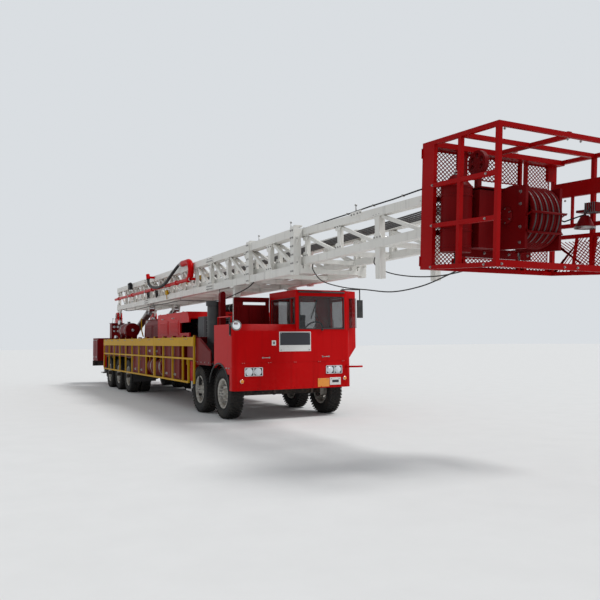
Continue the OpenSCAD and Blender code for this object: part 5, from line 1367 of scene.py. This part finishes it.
    def cooler(self):
        """Round fan grilles on the cooler's top and louvres on its sides."""
        cooler = Kit(DARK, STEEL, CHASSIS)
        for s in (6.72, 7.15, 7.58):
            for y in (-0.48, 0.48):
                centre = at(s, y, 2.15)
                cooler.turned([(0, 0), (0.19, 0), (0.19, 0.012), (0.175, 0.014), (0.172, 0.004), (0, 0.004)], centre,
                              UP, 32, CHASSIS)
                for r in (0.05, 0.085, 0.12, 0.155):
                    cooler.turned(hoop(r, 0.004, lift=0.024), centre, UP, 28, STEEL)
                spokes = [(centre + Vector((0.09 * cos(a), 0.09 * sin(a), 0.024)),
                           facing((cos(a), sin(a), 0)), (0.008, 0.008, 0.18)) for a in full_round(6)]
                cooler.copies("strand", spokes, STEEL)
        for side in (-1, 1):
            y = side * 1.0
            for s in (6.36, 7.2):
                louvres(cooler, side, s + 0.05, s + 0.69, y + side * 0.004, 1.7, 0.28, 8, 0.032)
                for a, b, c, d in border(s, s + 0.74, 1.66, 2.02, 0.02):
                    cooler.block((a, y, c), (b, y + side * 0.008, d), 0.003)
        cooler.done("cooler_grilles", "carrier")


class RIG_OT_side_boxes(bpy.types.Operator):
    """Puts doors, latches, ribs, steps and lockers' trim on the carrier's sides and tail"""

    bl_idname = "rig.side_boxes"
    bl_label = "Side boxes"

    def execute(self, context):
        kit = Kit(DARK, STEEL, PLASTIC)
        for side in (-1, 1):
            y, out = side * 1.28, (0, side, 0)
            for s0, z0 in ((3.5, 0.64), (5.1667, 1.18), (6.8333, 0.64)):
                for a in (s0 + 0.04, s0 + 0.78):
                    door_panel(kit, side, a, a + 0.7, y, z0 + 0.04, 1.56)
            # bands, filler and gauge of the round tank
            for s in (5.42, 6.27):
                kit.turned(band(0.261, 0.266, 0.03), (s, side * 1.02, 0.89), AHEAD, 48, STEEL, smooth=False)
            kit.turned([(0, 0), (0.05, 0), (0.05, 0.05), (0.06, 0.055), (0.06, 0.075), (0, 0.08)],
                       (5.85, side * 1.2, 1.06), (0, side * 0.75, 0.66), 20, STEEL)
            kit.block((5.3, side * 1.275, 0.82), (5.32, side * 1.29, 0.98), 0.003, STEEL)
            # skirts with stiffening ribs and bolts
            for s in spread(8.6, 0.5, 8):
                kit.block((s - 0.02, y, 1.12), (s + 0.02, y + side * 0.012, 1.58))
                kit.bolts([(s, y + side * 0.012, z) for z in (1.15, 1.55)], out, 0.02)
            kit.bolts([(s, y, z) for s in (2.4, 2.7, 2.9) for z in (1.15, 1.55)], out, 0.02)
            # mudflaps behind the wheels, hung from the guards
            for s, y0 in ((12.56, 0.56), (8.42, 0.56), (2.24, 0.78)):
                kit.block((s, side * y0, 0.36), (s + 0.008, side * 1.24, 1.09), 0.002, PLASTIC)
                kit.block((s - 0.006, side * y0, 1.03), (s, side * 1.24, 1.08), 0.002, STEEL)
                kit.bolts([(s - 0.006, side * (y0 + (1.24 - y0) * k / 4), 1.055) for k in range(5)], AHEAD, 0.014)
            # tail boxes: doors at the side and back, ladder rungs
            for s0 in (13.99, 14.46):
                door_panel(kit, side, s0, s0 + 0.42, side * 1.3, 0.92, 1.62)
            kit.block((14.915, side * 0.68, 0.92), (14.925, side * 1.24, 1.62), 0.008)
            kit.handle((14.925, side * 0.9, 1.3), (14.925, side * 1.05, 1.3), (-0.04, 0, 0), 0.008)
            for z in (0.98, 1.22, 1.46):
                kit.tube([(s, side * y, z) for s, y in ((14.93, 0.66), (14.97, 0.66), (14.97, 0.84), (14.93, 0.84))],
                         0.012, 8, STEEL)
            # fender panel's stiffener and bolts
            kit.bolts([(s, side * 1.3, 1.1) for s in (1.4, 1.65, 1.9, 2.15)], out, 0.02)
            kit.beam((1.36, side * 1.303, 1.34), (1.98, side * 1.303, 1.58), 0.02, 0.008, 0.002)
        kit.block((14.3, -0.3, 1.3), (14.34, 0.3, 1.42), 0.006)
        kit.done("side_box_trim", "carrier")

        under = Kit(CHASSIS, STEEL, PLASTIC, IRON)
        for side in (-1, 1):
            for z in (0.99, 0.95, 0.91):
                under.tube([(s, side * 0.455, z) for s in (1.4, 6.0, 12.9)], 0.009, 8, STEEL)
            under.copies("block", [(at(s, side * 0.448, 0.95), Matrix.Identity(3), (0.03, 0.02, 0.14))
                                   for s in spread(1.6, 0.9, 13)])
            # brake chambers with their push rods and hoses, and air tanks
            for s in AXLES:
                y = side * 0.32
                under.turned([(0, -0.08), (0.085, -0.08), (0.095, -0.06), (0.095, 0.03), (0.085, 0.06), (0, 0.07)],
                             (s + 0.28, y, 0.62), AHEAD, 24)
                under.tube([(s + 0.2, y, 0.62), (s + 0.1, y, 0.58)], 0.014, 8, STEEL)
                under.tube([(s + 0.3, y, 0.71), (s + 0.34, side * 0.38, 0.84), (s + 0.3, side * 0.44, 0.93)], 0.011, 8,
                           PLASTIC)
            for s in (2.95, 4.3):
                under.turned([(0, -0.36), (0.1, -0.355), (0.125, -0.31), (0.125, 0.31), (0.1, 0.355), (0, 0.36)],
                             (s, side * 0.32, 0.62), AHEAD, 28, IRON)
        under.done("chassis_lines", "carrier")
        return {"FINISHED"}


class RIG_OT_machinery(bpy.types.Operator):
    """Dresses the drawworks, valve chest, oil tank, console, jacks and mast base"""

    bl_idname = "rig.machinery"
    bl_label = "Machinery"

    def execute(self, context):
        kit = Kit(DARK, STEEL, CHASSIS, CLEAR, YELLOW, PLASTIC)
        drum_s, drum_z, shaft_s, shaft_z, case_y = 9.1, 2.0, 8.34, 1.94, 0.7
        for side in (-1, 1):
            y, out = side * 0.56, (0, side, 0)
            kit.bolts(circle(drum_s, y, drum_z, 0.13, full_round(8)), out, 0.026)
            kit.bolts([(s, y, 1.68) for s in spread(8.45, 0.1625, 9)], out, 0.024)
            kit.block((8.34, y, 1.64), (9.86, side * 0.62, 1.652), 0.003)
        kit.bolts(circle(drum_s, case_y, drum_z, 0.232, fan(-100, 100, 8)), LEFT, 0.024)
        kit.bolts(circle(shaft_s, case_y, shaft_z, 0.172, fan(90, 265, 7)), LEFT, 0.024)
        kit.turned(cap(0.11, 0.012, 0.095, 0.02), (drum_s, case_y, drum_z), LEFT, 28)
        kit.turned([(0, 0), (0.07, 0), (0.07, 0.012), (0, 0.014)], (shaft_s, case_y, shaft_z), LEFT, 24)
        # brake lever, bands' equaliser bar and guard over the drum
        kit.beam((9.78, -0.48, 1.7), (9.78, 0.48, 1.7), 0.06, 0.05, 0.008, STEEL)
        kit.tube([(9.8, -0.62, 1.72), (10.0, -0.62, 1.9), (10.05, -0.62, 2.3)], 0.02, 10, YELLOW)
        kit.block((8.42, -0.515, 2.24), (9.78, 0.515, 2.25), 0.003)
        for s in (8.6, 9.1, 9.6):
            kit.handle((s, -0.1, 2.25), (s, 0.1, 2.25), (0, 0, 0.04), 0.008)
        # valve chest
        for s0 in (10.14, 10.64, 11.14):
            door_panel(kit, 1, s0, s0 + 0.42, 1.15, 1.68, 2.04)
        for s in spread(10.3, 0.22, 6):
            kit.turned([(0, 0), (0.035, 0), (0.035, 0.05), (0.02, 0.06), (0.012, 0.12), (0, 0.12)], (s, 0.9, 2.08), UP,
                       14, STEEL)
            kit.tube([(s, 0.9, 2.11), (s, 0.75, 2.13), (s, 0.65, 2.04), (s, 0.63, 1.78)], 0.014, 8, PLASTIC)
            kit.tube([(s, 0.9, 2.2), (s - 0.05, 0.9, 2.28)], 0.008, 8, STEEL)
        # oil tank
        for s in (10.32, 10.98):
            kit.turned(band(0.231, 0.236, 0.025), (s, -0.89, 1.93), AHEAD, 40, STEEL, smooth=False)
        kit.turned([(0, 0), (0.045, 0), (0.045, 0.04), (0.055, 0.045), (0.055, 0.065), (0, 0.07)],
                   (10.65, -0.89, 2.155), UP, 18, STEEL)
        gauge(kit, (10.095, -0.89, 1.93), 0.05)
        # driller's console with gauges and levers
        face = Vector((0.5, 0, 0.86))
        kit.block((12.14, -1.17, 2.2), (12.52, -0.7, 2.215))
        for y in (-1.07, -0.94, -0.81):
            gauge(kit, (12.16, y, 2.08), 0.05)
            gauge(kit, (12.16, y, 1.93), 0.035)
        for y in spread(-1.1, 0.08, 5):
            foot = at(12.3, y, 2.215)
            kit.tube([foot, foot + face * 0.16], 0.007, 8, STEEL)
            kit.turned([(0, 0), (0.015, 0.006), (0.018, 0.02), (0.012, 0.034), (0, 0.038)], foot + face * 0.155, face,
                       12, PLASTIC)
        # lamps and pipes of the rear deck
        for s, z in ((11.5, 1.7), (10.9, 2.2)):
            place, out = (s, -1.14, z), (0.3, -1, 0)
            kit.turned([(0, -0.06), (0.05, -0.05), (0.075, 0), (0.08, 0.03), (0.07, 0.03), (0, 0.02)], place, out, 24,
                       STEEL)
            kit.turned([(0, 0.034), (0.05, 0.032), (0.07, 0.026), (0, 0.02)], place, out, 24, CLEAR)
            kit.tube([(s, -1.11, z - 0.03), (s, -1.1, 1.64)], 0.012, 8, STEEL)
        for y, z in ((0.6, 1.7), (0.56, 1.76), (0.52, 1.82)):
            kit.tube([(10.0, y, z), (11.7, y, z), (12.0, y, z + 0.1), (12.1, y, z + 0.34)], 0.016, 10, STEEL)
        for s in (10.2, 10.8, 11.4):
            kit.block((s, 0.5, 1.66), (s + 0.03, 0.62, 1.86), 0.003, CHASSIS)
        kit.done("machinery_trim", "carrier")

        base = Kit(RED, STEEL, PLASTIC, RUBBER)
        for side in (-1, 1):
            for s, z, y, r in ((13.4, 2.5, 0.745, 0.085), (12.1, 1.8, 0.51, 0.055)):
                base.turned([(0, -0.02), (r, -0.02), (r, 0.012), (r - 0.008, 0.018), (0, 0.018)], (s, side * y, z),
                            (0, side, 0), 24, STEEL)
                base.block((s - 0.05, side * (y + 0.016), z - 0.012), (s + 0.05, side * (y + 0.024), z + 0.012), 0.002,
                           STEEL)
            for s in (3.06, 13.56):
                for z in (0.7, 0.9, 1.1, 1.3, 1.5):
                    base.block((s - 0.094, side * 0.966, z), (s + 0.094, side * 1.154, z + 0.02), 0.003)
                base.turned(cap(0.06, 0.09, 0.05, 0.1), (s, side * 1.06, 1.56), UP, 18, STEEL)
                base.tube([(s, side * 1.0, 1.2), (s + 0.12, side * 0.96, 1.24), (s + 0.2, side * 0.9, 1.1)], 0.012, 8,
                          PLASTIC)
            # the hose at the raising cylinder's foot, inboard of its swing
            base.tube([(12.1, side * 0.31, 1.8), (12.12, side * 0.25, 1.81), (12.28, side * 0.22, 1.83),
                       (12.38, side * 0.22, 1.76), (12.4, side * 0.22, 1.64)], 0.016, 10, RUBBER)
            base.bolts([(s, side * 0.75, 1.165) for s in (12.95, 13.1, 13.7, 13.85)], UP, 0.03)
        base.done("base_pins", "carrier")
        return {"FINISHED"}


class RIG_OT_handrails(bpy.types.Operator):
    """Puts strips of painted shadow and hinge bolts on the four folded handrails"""

    bl_idname = "rig.handrails"
    bl_label = "Handrails"

    def execute(self, context):
        for letter in "fr":
            for hand, side in SIDES:
                node = "handrail_%s%s" % (letter, hand)
                low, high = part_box(node)
                a, b = NOSE - high.x, NOSE - low.x
                kit = Kit(DARK, STEEL, YELLOW)
                # a thin dark strip along the rail's face: painted shadow
                kit.block((a + 0.03, side * 1.35, 1.45), (b - 0.03, side * 1.353, 1.475), 0.001)
                count = int((b - a) / 0.9)
                for k in range(count):
                    s = a + (b - a) * (k + 0.5) / count
                    kit.bolts([(s + e, side * 1.358, 1.6) for e in (-0.08, 0.08)], (0, side, 0), 0.022)
                    kit.beam((s, side * 1.33, 1.02), (s, side * 1.33, 1.15), 0.012, 0.012, 0.002, YELLOW)
                kit.done("dressed_" + node, node)
        return {"FINISHED"}


# ---------------------------------------------------------------- mast and crown

# The cable hung under the right-hand side; those of its places that a dropper holds come again
HUNG = [(13.1, 2.97), (12.7, 2.78), (11.9, 2.645), (10.6, 2.61), (9.4, 2.632), (8.2, 2.64), (6.8, 2.628),
        (5.4, 2.63), (4.0, 2.545), (2.4, 2.47), (0.9, 2.6), (0.4, 2.72)]
DROPPERS = (2, 3, 5, 7, 9)


class RIG_OT_mast(bpy.types.Operator):
    """Puts gussets, bolts, cables and small gear on the two mast sections"""

    bl_idname = "rig.mast"
    bl_label = "Mast"

    def execute(self, context):
        self.lower()
        self.upper()
        return {"FINISHED"}

    def lower(self):
        """The lower section's gussets, joint plates, collar pads, hung cable, tools and standpipe clamps."""
        kit = Kit(WHITE, STEEL, CHASSIS, ROPE, YELLOW, RED)
        for side in (-1, 1):
            y, out = side * 0.69, (0, side, 0)
            for s in LOWER_S:
                for z, up in ((2.87, 1), (3.37, -1)):
                    outline = [(s - 0.1, z), (s + 0.19, z), (s + 0.12, z + up * 0.13), (s - 0.03, z + up * 0.13)]
                    kit.plate(outline, y, y + side * 0.008)
                    kit.bolts([(s + e, y + side * 0.008, z + up * 0.04) for e in (-0.05, 0.045, 0.14)], out, 0.022)
            # joint plates where the section's parts meet
            for s in (3.0, 9.0):
                for z in (2.72, 3.37):
                    kit.block((s - 0.22, side * 0.72, z + 0.02), (s + 0.22, side * 0.732, z + 0.13))
                    kit.bolts([(s + e, side * 0.732, z + f) for e in (-0.18, -0.11, -0.04, 0.04, 0.11, 0.18)
                               for f in (0.045, 0.105)], out, 0.024)
            for z in (2.71, 3.36):
                kit.block((13.29, side * 0.56, z), (13.31, side * 0.73, z + 0.17))
            # collar pads and their adjusting bolts
            for s in (-1.43, 0.63):
                kit.bolts([(s + e, side * 0.745, z) for e in (-0.035, 0.035)
                           for z in (2.76, 2.9, 3.05, 3.2, 3.35, 3.48)], out, 0.026)
                kit.block((s - 0.05, side * 0.56, 3.55), (s + 0.05, side * 0.7, 3.58))
        kit.tube(smooth([at(s, -0.7, z) for s, z in HUNG], 4), 0.011, 8, CHASSIS)
        for s, z in [HUNG[i] for i in DROPPERS]:
            kit.beam((s, -0.7, z - 0.015), (s, -0.7, 2.722), 0.006, 0.02, 0, STEEL)
        # tools and coils hung on the right-hand face
        kit.block((10.88, -0.83, 3.32), (11.12, -0.72, 3.48), 0.02, CHASSIS, steps=2)
        kit.turned([(0, -0.13), (0.05, -0.12), (0.05, 0.12), (0, 0.13)], (11.0, -0.79, 3.5), AHEAD, 16, CHASSIS)
        for s, z in ((8.66, 2.99), (7.66, 2.97)):
            for k in range(5):
                kit.turned(hoop(0.085 + 0.006 * k, 0.008), (s, -0.732 - 0.012 * k, z - 0.006 * k),
                           (0.05 * k, 1, 0.03 * k), 28, ROPE)
            kit.block((s - 0.012, -0.8, z + 0.06), (s + 0.012, -0.72, z + 0.08), 0.003, STEEL)
        kit.block((6.5, -0.775, 2.86), (6.68, -0.72, 2.99), 0.015, YELLOW, steps=2)
        kit.tube([(6.59, -0.75, 2.86), (6.59, -0.75, 2.78), (6.56, -0.75, 2.74), (6.52, -0.75, 2.76)], 0.01, 8, YELLOW)
        # clamps and couplings of the standpipe, and the collars of its gooseneck
        for s in [tie + 0.045 for tie in LOWER_S[5:13:2]]:
            kit.turned(band(0.046, 0.054, 0.03), (s, PIPE_Y, PIPE_Z), AHEAD, 24, STEEL, smooth=False)
            kit.bolts([(s, PIPE_Y + e, PIPE_Z + 0.055) for e in (-0.03, 0.03)], UP, 0.018)
        for s in (5.4, 7.9, 10.5, 12.6):
            kit.turned(band(0.045, 0.062, 0.05, 0.045), (s, PIPE_Y, PIPE_Z), AHEAD, 24, RED, smooth=False)
        for s, r in ((5.0, 0.066), (4.86, 0.084)):
            kit.turned(band(r - 0.02, r, 0.02, 0.018), (s, PIPE_Y, 3.55), AHEAD, 24, STEEL, smooth=False)
        kit.done("lower_mast_gear", "lower_mast")

    def upper(self):
        """The upper section's gussets, guide plates, clipped cable, marker rods and work lamps."""
        top = Kit(WHITE, STEEL, CHASSIS)
        for side in (-1, 1):
            for s in UPPER_S[:6]:
                for z, up in ((3.0, 1), (3.4, -1)):
                    outline = [(s - 0.08, z), (s + 0.17, z), (s + 0.11, z + up * 0.1), (s - 0.02, z + up * 0.1)]
                    top.plate(outline, side * 0.538, side * 0.546)
                    top.bolts([(s + e, side * 0.546, z + up * 0.035) for e in (-0.03, 0.045, 0.12)], (0, side, 0), 0.02)
            for s in (-3.3, 4.6, 10.4):
                top.block((s - 0.16, side * 0.558, 3.43), (s + 0.16, side * 0.566, 3.51), 0.003)
                top.bolts([(s + e, side * 0.566, 3.47) for e in (-0.13, -0.05, 0.05, 0.13)], (0, side, 0), 0.02)
        top.tube([(s, -0.5, 3.532 + 0.004 * sin(s * 5)) for s in spread(-5.4, 0.6, 12)], 0.011, 8, CHASSIS)
        for s in spread(-5.2, 0.75, 9):
            top.block((s - 0.012, -0.525, 3.52), (s + 0.012, -0.475, 3.546), 0.002, STEEL)
        for s, tall in ((-0.9, 0.2), (0.6, 0.16), (-3.2, 0.1)):
            top.tube([(s, -0.5, 3.52), (s, -0.5, 3.52 + tall)], 0.01, 8, STEEL)
            top.turned([(0, 0), (0.02, 0), (0.02, 0.02), (0, 0.025)], (s, -0.5, 3.52 + tall), UP, 12, STEEL)
        for s in (-4.6, -2.3):
            top.turned([(0, -0.06), (0.05, -0.05), (0.075, 0.01), (0.075, 0.03), (0, 0.02)], (s, 0.6, 3.3),
                       (0, 1, -0.6), 20, STEEL)
            top.beam((s, 0.558, 3.36), (s, 0.6, 3.3), 0.02, 0.01, 0.002, STEEL)
        top.done("upper_mast_gear", "upper_mast")


class RIG_OT_crown(bpy.types.Operator):
    """Dresses the crown: grooved sheaves, floodlight, canister, bolts, guard bars and hooks"""

    bl_idname = "rig.crown"
    bl_label = "Crown"

    def execute(self, context):
        self.sheaves()
        # the crown's parts take the red darkened as painted shade
        kit = Kit(CROWN_RED_PAINTED_SHADE, DARK, STEEL, CHASSIS, CLEAR, RED_LENS, IRON, where=on_crown)
        for side in (-1, 1):
            y, out = side * 0.285, (0, side, 0)
            kit.turned(cap(0.1, 0.02, 0.085, 0.03), (SHEAVE_X, y, SHEAVE_Z), out, 28, DARK)
            kit.bolts(circle(SHEAVE_X, y + side * 0.022, SHEAVE_Z, 0.082, full_round(6, 30)), out, 0.022)
            kit.bolts([(x, y, z) for x in (0.12, 0.8) for z in (0.32, 0.5, 0.76, 0.9)], out, 0.026)
            kit.bolts([(x, side * 1.075, z) for x in (0.2, 1.1) for z in (0.025, 0.505, 0.975)], out, 0.02)
            kit.bolts([(1.28, side * y, z) for y in (0.1, 1.0) for z in (0.03, 1.42)], AHEAD, 0.02)
            for ends in (((0.86, 0.62), (0.97, 0.67)), ((0.86, 0.5), (0.91, 0.43))):
                kit.beam(*[(x, side * 0.262, z) for x, z in ends], 0.02, 0.008, 0, DARK)
        for x, z in ((0.12, 0.235), (0.18, 0.98)):
            kit.bolts([(x, y, z) for y in (-0.2, 0, 0.2, 0.36, 0.52)], AHEAD, 0.024)
        # platform frame's corner gussets and bolts
        for y in [0.97 * post for post in (-1.05, 1.05, -0.55, 0.55)]:
            for z in (0.1, 1.38) if abs(y) > 1 else (0.1,):
                kit.sized((0.008, 0.14, 0.12), CROWN @ moved(-0.004, y, z), 0.003)
                kit.bolts([(-0.008, y + e, z + f) for e in (-0.045, 0.045) for f in (-0.04, 0.04)], BACK, 0.02)
        # ropes' guard bars over the sheaves
        for x, z in ((0.22, 0.95), (0.96, 0.66), (0.9, 0.44)):
            kit.tube([(x, -0.26, z), (x, 0.26, z)], 0.014, 10, DARK)
        # canister: bands, lid with a handle, gauge and valve
        up = on_crown(0, 0, 1) - on_crown(0, 0, 0)
        x, y = 0.345, -0.835
        strap = band(0.18, 0.186, 0.012, 0.01)
        for z in (0.26, 0.45, 0.85, 0.95):
            kit.turned(strap, (x, y, z), up, 44, DARK, smooth=False)
        kit.handle((x, -0.875, 1.09), (x, -0.795, 1.09), up * 0.05, 0.008)
        kit.turned(rod(0.03, 0, 0.03), (x, y, 1.085), up, 14, STEEL)
        kit.tube([(x, y, 0.2), (x, y, 0.14), (0.3, -0.8, 0.08), (0.12, -0.7, 0.06)], 0.012, 8, CHASSIS)
        # floodlight: glass, guard ring, cooling ribs and cable
        lamp = (0.76, 0.8, 0.56)
        kit.turned([(0, -0.006), (0.07, -0.004), (0.112, 0.004), (0.112, 0.012), (0, 0.012)], lamp, up, 32, CLEAR)
        kit.turned([(0.112, -0.012), (0.124, -0.012), (0.126, 0.012), (0.114, 0.014), (0.112, -0.012)], lamp, up, 36,
                   STEEL, smooth=False)
        for x in spread(0.805, 0.028, 6):
            kit.sized((0.008, 0.128, 0.118), CROWN @ moved(x, 0.8, 0.795), 0.001, IRON)
        kit.tube([(0.89, 0.74, 0.8), (0.88, 0.66, 0.7), (0.7, 0.52, 0.62), (0.45, 0.48, 0.72), (0.2, 0.46, 0.86),
                  (0.06, 0.45, 0.9)], 0.009, 8, CHASSIS)
        # warning lamp at the top, and hooks hung under the block
        kit.turned(cap(0.04, 0.02, 0.032, 0.03), (0.09, 0.3, 1.5), up, 18, STEEL)
        kit.turned([(0.03, 0.028), (0.032, 0.08), (0.02, 0.1), (0, 0.104)], (0.09, 0.3, 1.5), up, 18, RED_LENS)
        for y in (-0.2, 0.2):
            kit.tube([(0.3, y, 0.25), (0.3, y, 0.16), (0.34, y, 0.12), (0.38, y, 0.15)], 0.012, 8, STEEL)
        kit.done("crown_gear", "upper_mast")
        return {"FINISHED"}

    def sheaves(self):
        """Five grooved sheaves with webs, on their shaft."""
        wheel = Kit(DARK, STEEL, where=on_crown)
        r = 0.365
        half = [(0.29, -0.028), (r - 0.012, -0.034), (r, -0.03), (r, -0.026), (r - 0.04, -0.012)]
        rim = half + [(r - 0.046, 0)] + [(a, -b) for a, b in reversed(half)] + [(0.285, 0), half[0]]
        for i in range(5):
            place = on_crown(SHEAVE_X, (i - 2) * SHEAVE_PITCH, SHEAVE_Z)
            wheel.turned(rim, place, LEFT, 56)
            wheel.turned([(0.06, -0.036), (0.105, -0.036), (0.11, 0), (0.105, 0.036), (0.06, 0.036), (0.06, -0.036)],
                         place, LEFT)
            wheel.copies("block", [(place + Vector((0.195 * cos(a), 0, 0.195 * sin(a))),
                                    facing((cos(a), 0, sin(a))), (0.075, 0.016, 0.185))
                                   for a in full_round(8)])
            wheel.turned(band(0.1, 0.145, 0.006), place, LEFT, 40, smooth=False)
        wheel.turned(rod(0.06, -0.295, 0.295), (SHEAVE_X, 0, SHEAVE_Z), LEFT, 32, STEEL)
        wheel.done("dressed_sheaves", "crown_sheaves", ["crown_sheaves"])


# ---------------------------------------------------------------- finishes on the CAD nodes, stage and panel


class RIG_OT_finishes(bpy.types.Operator):
    """Gives each CAD node its procedural finish"""

    bl_idname = "rig.finishes"
    bl_label = "Finishes"

    def execute(self, context):
        slots = {node: entry["slot"] for entry in frame["record"]["materials"] for node in entry.get("nodes", [])}
        for name, node in frame["nodes"].items():
            slot = slots.get(name)
            if slot is None:
                slot = node.data.materials[0].name.split(".")[0] if node.data.materials else STEEL
            # the crown's red parts take the red darkened as painted shade
            if name in CROWN_NODES and slot == RED:
                slot = CROWN_RED_PAINTED_SHADE
            if slot not in FINISHES:
                raise RuntimeError("no finish for slot %s of %s" % (slot, name))
            node.data.materials.clear()
            node.data.materials.append(material(slot))
        return {"FINISHED"}


FLOOR_REACH = 150.0


class RIG_OT_stage(bpy.types.Operator):
    """Sets the pale floor, the soft light and the plain background"""

    bl_idname = "rig.stage"
    bl_label = "Stage"

    def execute(self, context):
        scene = context.scene
        mesh = bpy.data.meshes.new("floor")
        corners = [(x * FLOOR_REACH, y * FLOOR_REACH, 0) for x, y in ((-1, -1), (1, -1), (1, 1), (-1, 1))]
        mesh.from_pydata(corners, [], [(0, 1, 2, 3)])
        floor = bpy.data.objects.new("floor", mesh)
        scene.collection.objects.link(floor)
        made = bpy.data.materials.new("floor")
        made.use_nodes = True
        graph = Graph(made.node_tree)
        graph.surface(graph.mix((0.78, 0.78, 0.77), (0.72, 0.72, 0.71), graph.noise(graph.place(), 2.0, 6.0, 0.6)), 0.9)
        mesh.materials.append(made)

        # soft light on the object, and a plain pale backdrop for the camera and for reflections
        scene.world = world = bpy.data.worlds.new("studio")
        world.use_nodes = True
        graph = Graph(world.node_tree)
        path = graph.add("ShaderNodeLightPath")
        seen = path.maths("MAXIMUM", path, graph.also(path, "Is Glossy Ray"))
        seen = path.maths("MAXIMUM", seen, graph.also(path, "Is Transmission Ray"))
        soft = graph.add("ShaderNodeBackground", None, {"Color": (0.93, 0.96, 1.0, 1.0), "Strength": 0.56})
        plain = graph.add("ShaderNodeBackground", None, {"Color": (0.7, 0.73, 0.76, 1.0), "Strength": 1.0})
        both = graph.add("ShaderNodeMixShader", None, {0: seen, 1: soft, 2: plain})
        graph.add("ShaderNodeOutputWorld", None, {"Surface": both})
        sun = bpy.data.lights.new("key", "SUN")
        sun.energy, sun.angle = 1.7, radians(14)
        key = bpy.data.objects.new("key", sun)
        key.rotation_mode = "QUATERNION"
        key.rotation_quaternion = Vector((-0.35, -0.55, -1.0)).to_track_quat("-Z", "Y")
        scene.collection.objects.link(key)
        scene.view_settings.view_transform = "Standard"
        return {"FINISHED"}


STEPS = (RIG_OT_camera, RIG_OT_cords, RIG_OT_finishes, RIG_OT_wheels, RIG_OT_guard_mesh, RIG_OT_rigging, RIG_OT_lamps,
         RIG_OT_cab_trim, RIG_OT_cab_inside, RIG_OT_deck, RIG_OT_side_boxes, RIG_OT_machinery, RIG_OT_handrails,
         RIG_OT_mast, RIG_OT_crown, RIG_OT_stage)


class RIG_PT_panel(bpy.types.Panel):
    """Lists the rig's sizes, colours and steps in the sidebar"""

    bl_idname = "RIG_PT_panel"
    bl_label = "Workover rig"
    bl_space_type = "VIEW_3D"
    bl_region_type = "UI"
    bl_category = "Workover rig"

    def draw(self, context):
        for group in (context.scene.rig_sizes, context.scene.rig_colours):
            for key in group.__annotations__:
                self.layout.prop(group, key)
        for step in STEPS:
            self.layout.operator(step.bl_idname)


CLASSES = (RigSizes, RigColours, *STEPS, RIG_PT_panel)


def register():
    for cls in CLASSES:
        bpy.utils.register_class(cls)
    bpy.types.Scene.rig_sizes = PointerProperty(type=RigSizes)
    bpy.types.Scene.rig_colours = PointerProperty(type=RigColours)


def unregister():
    del bpy.types.Scene.rig_colours
    del bpy.types.Scene.rig_sizes
    for cls in reversed(CLASSES):
        bpy.utils.unregister_class(cls)


def main():
    register()
    for step in STEPS:
        getattr(bpy.ops.rig, step.bl_idname.split(".")[1])()


if __name__ == "__main__":
    main()
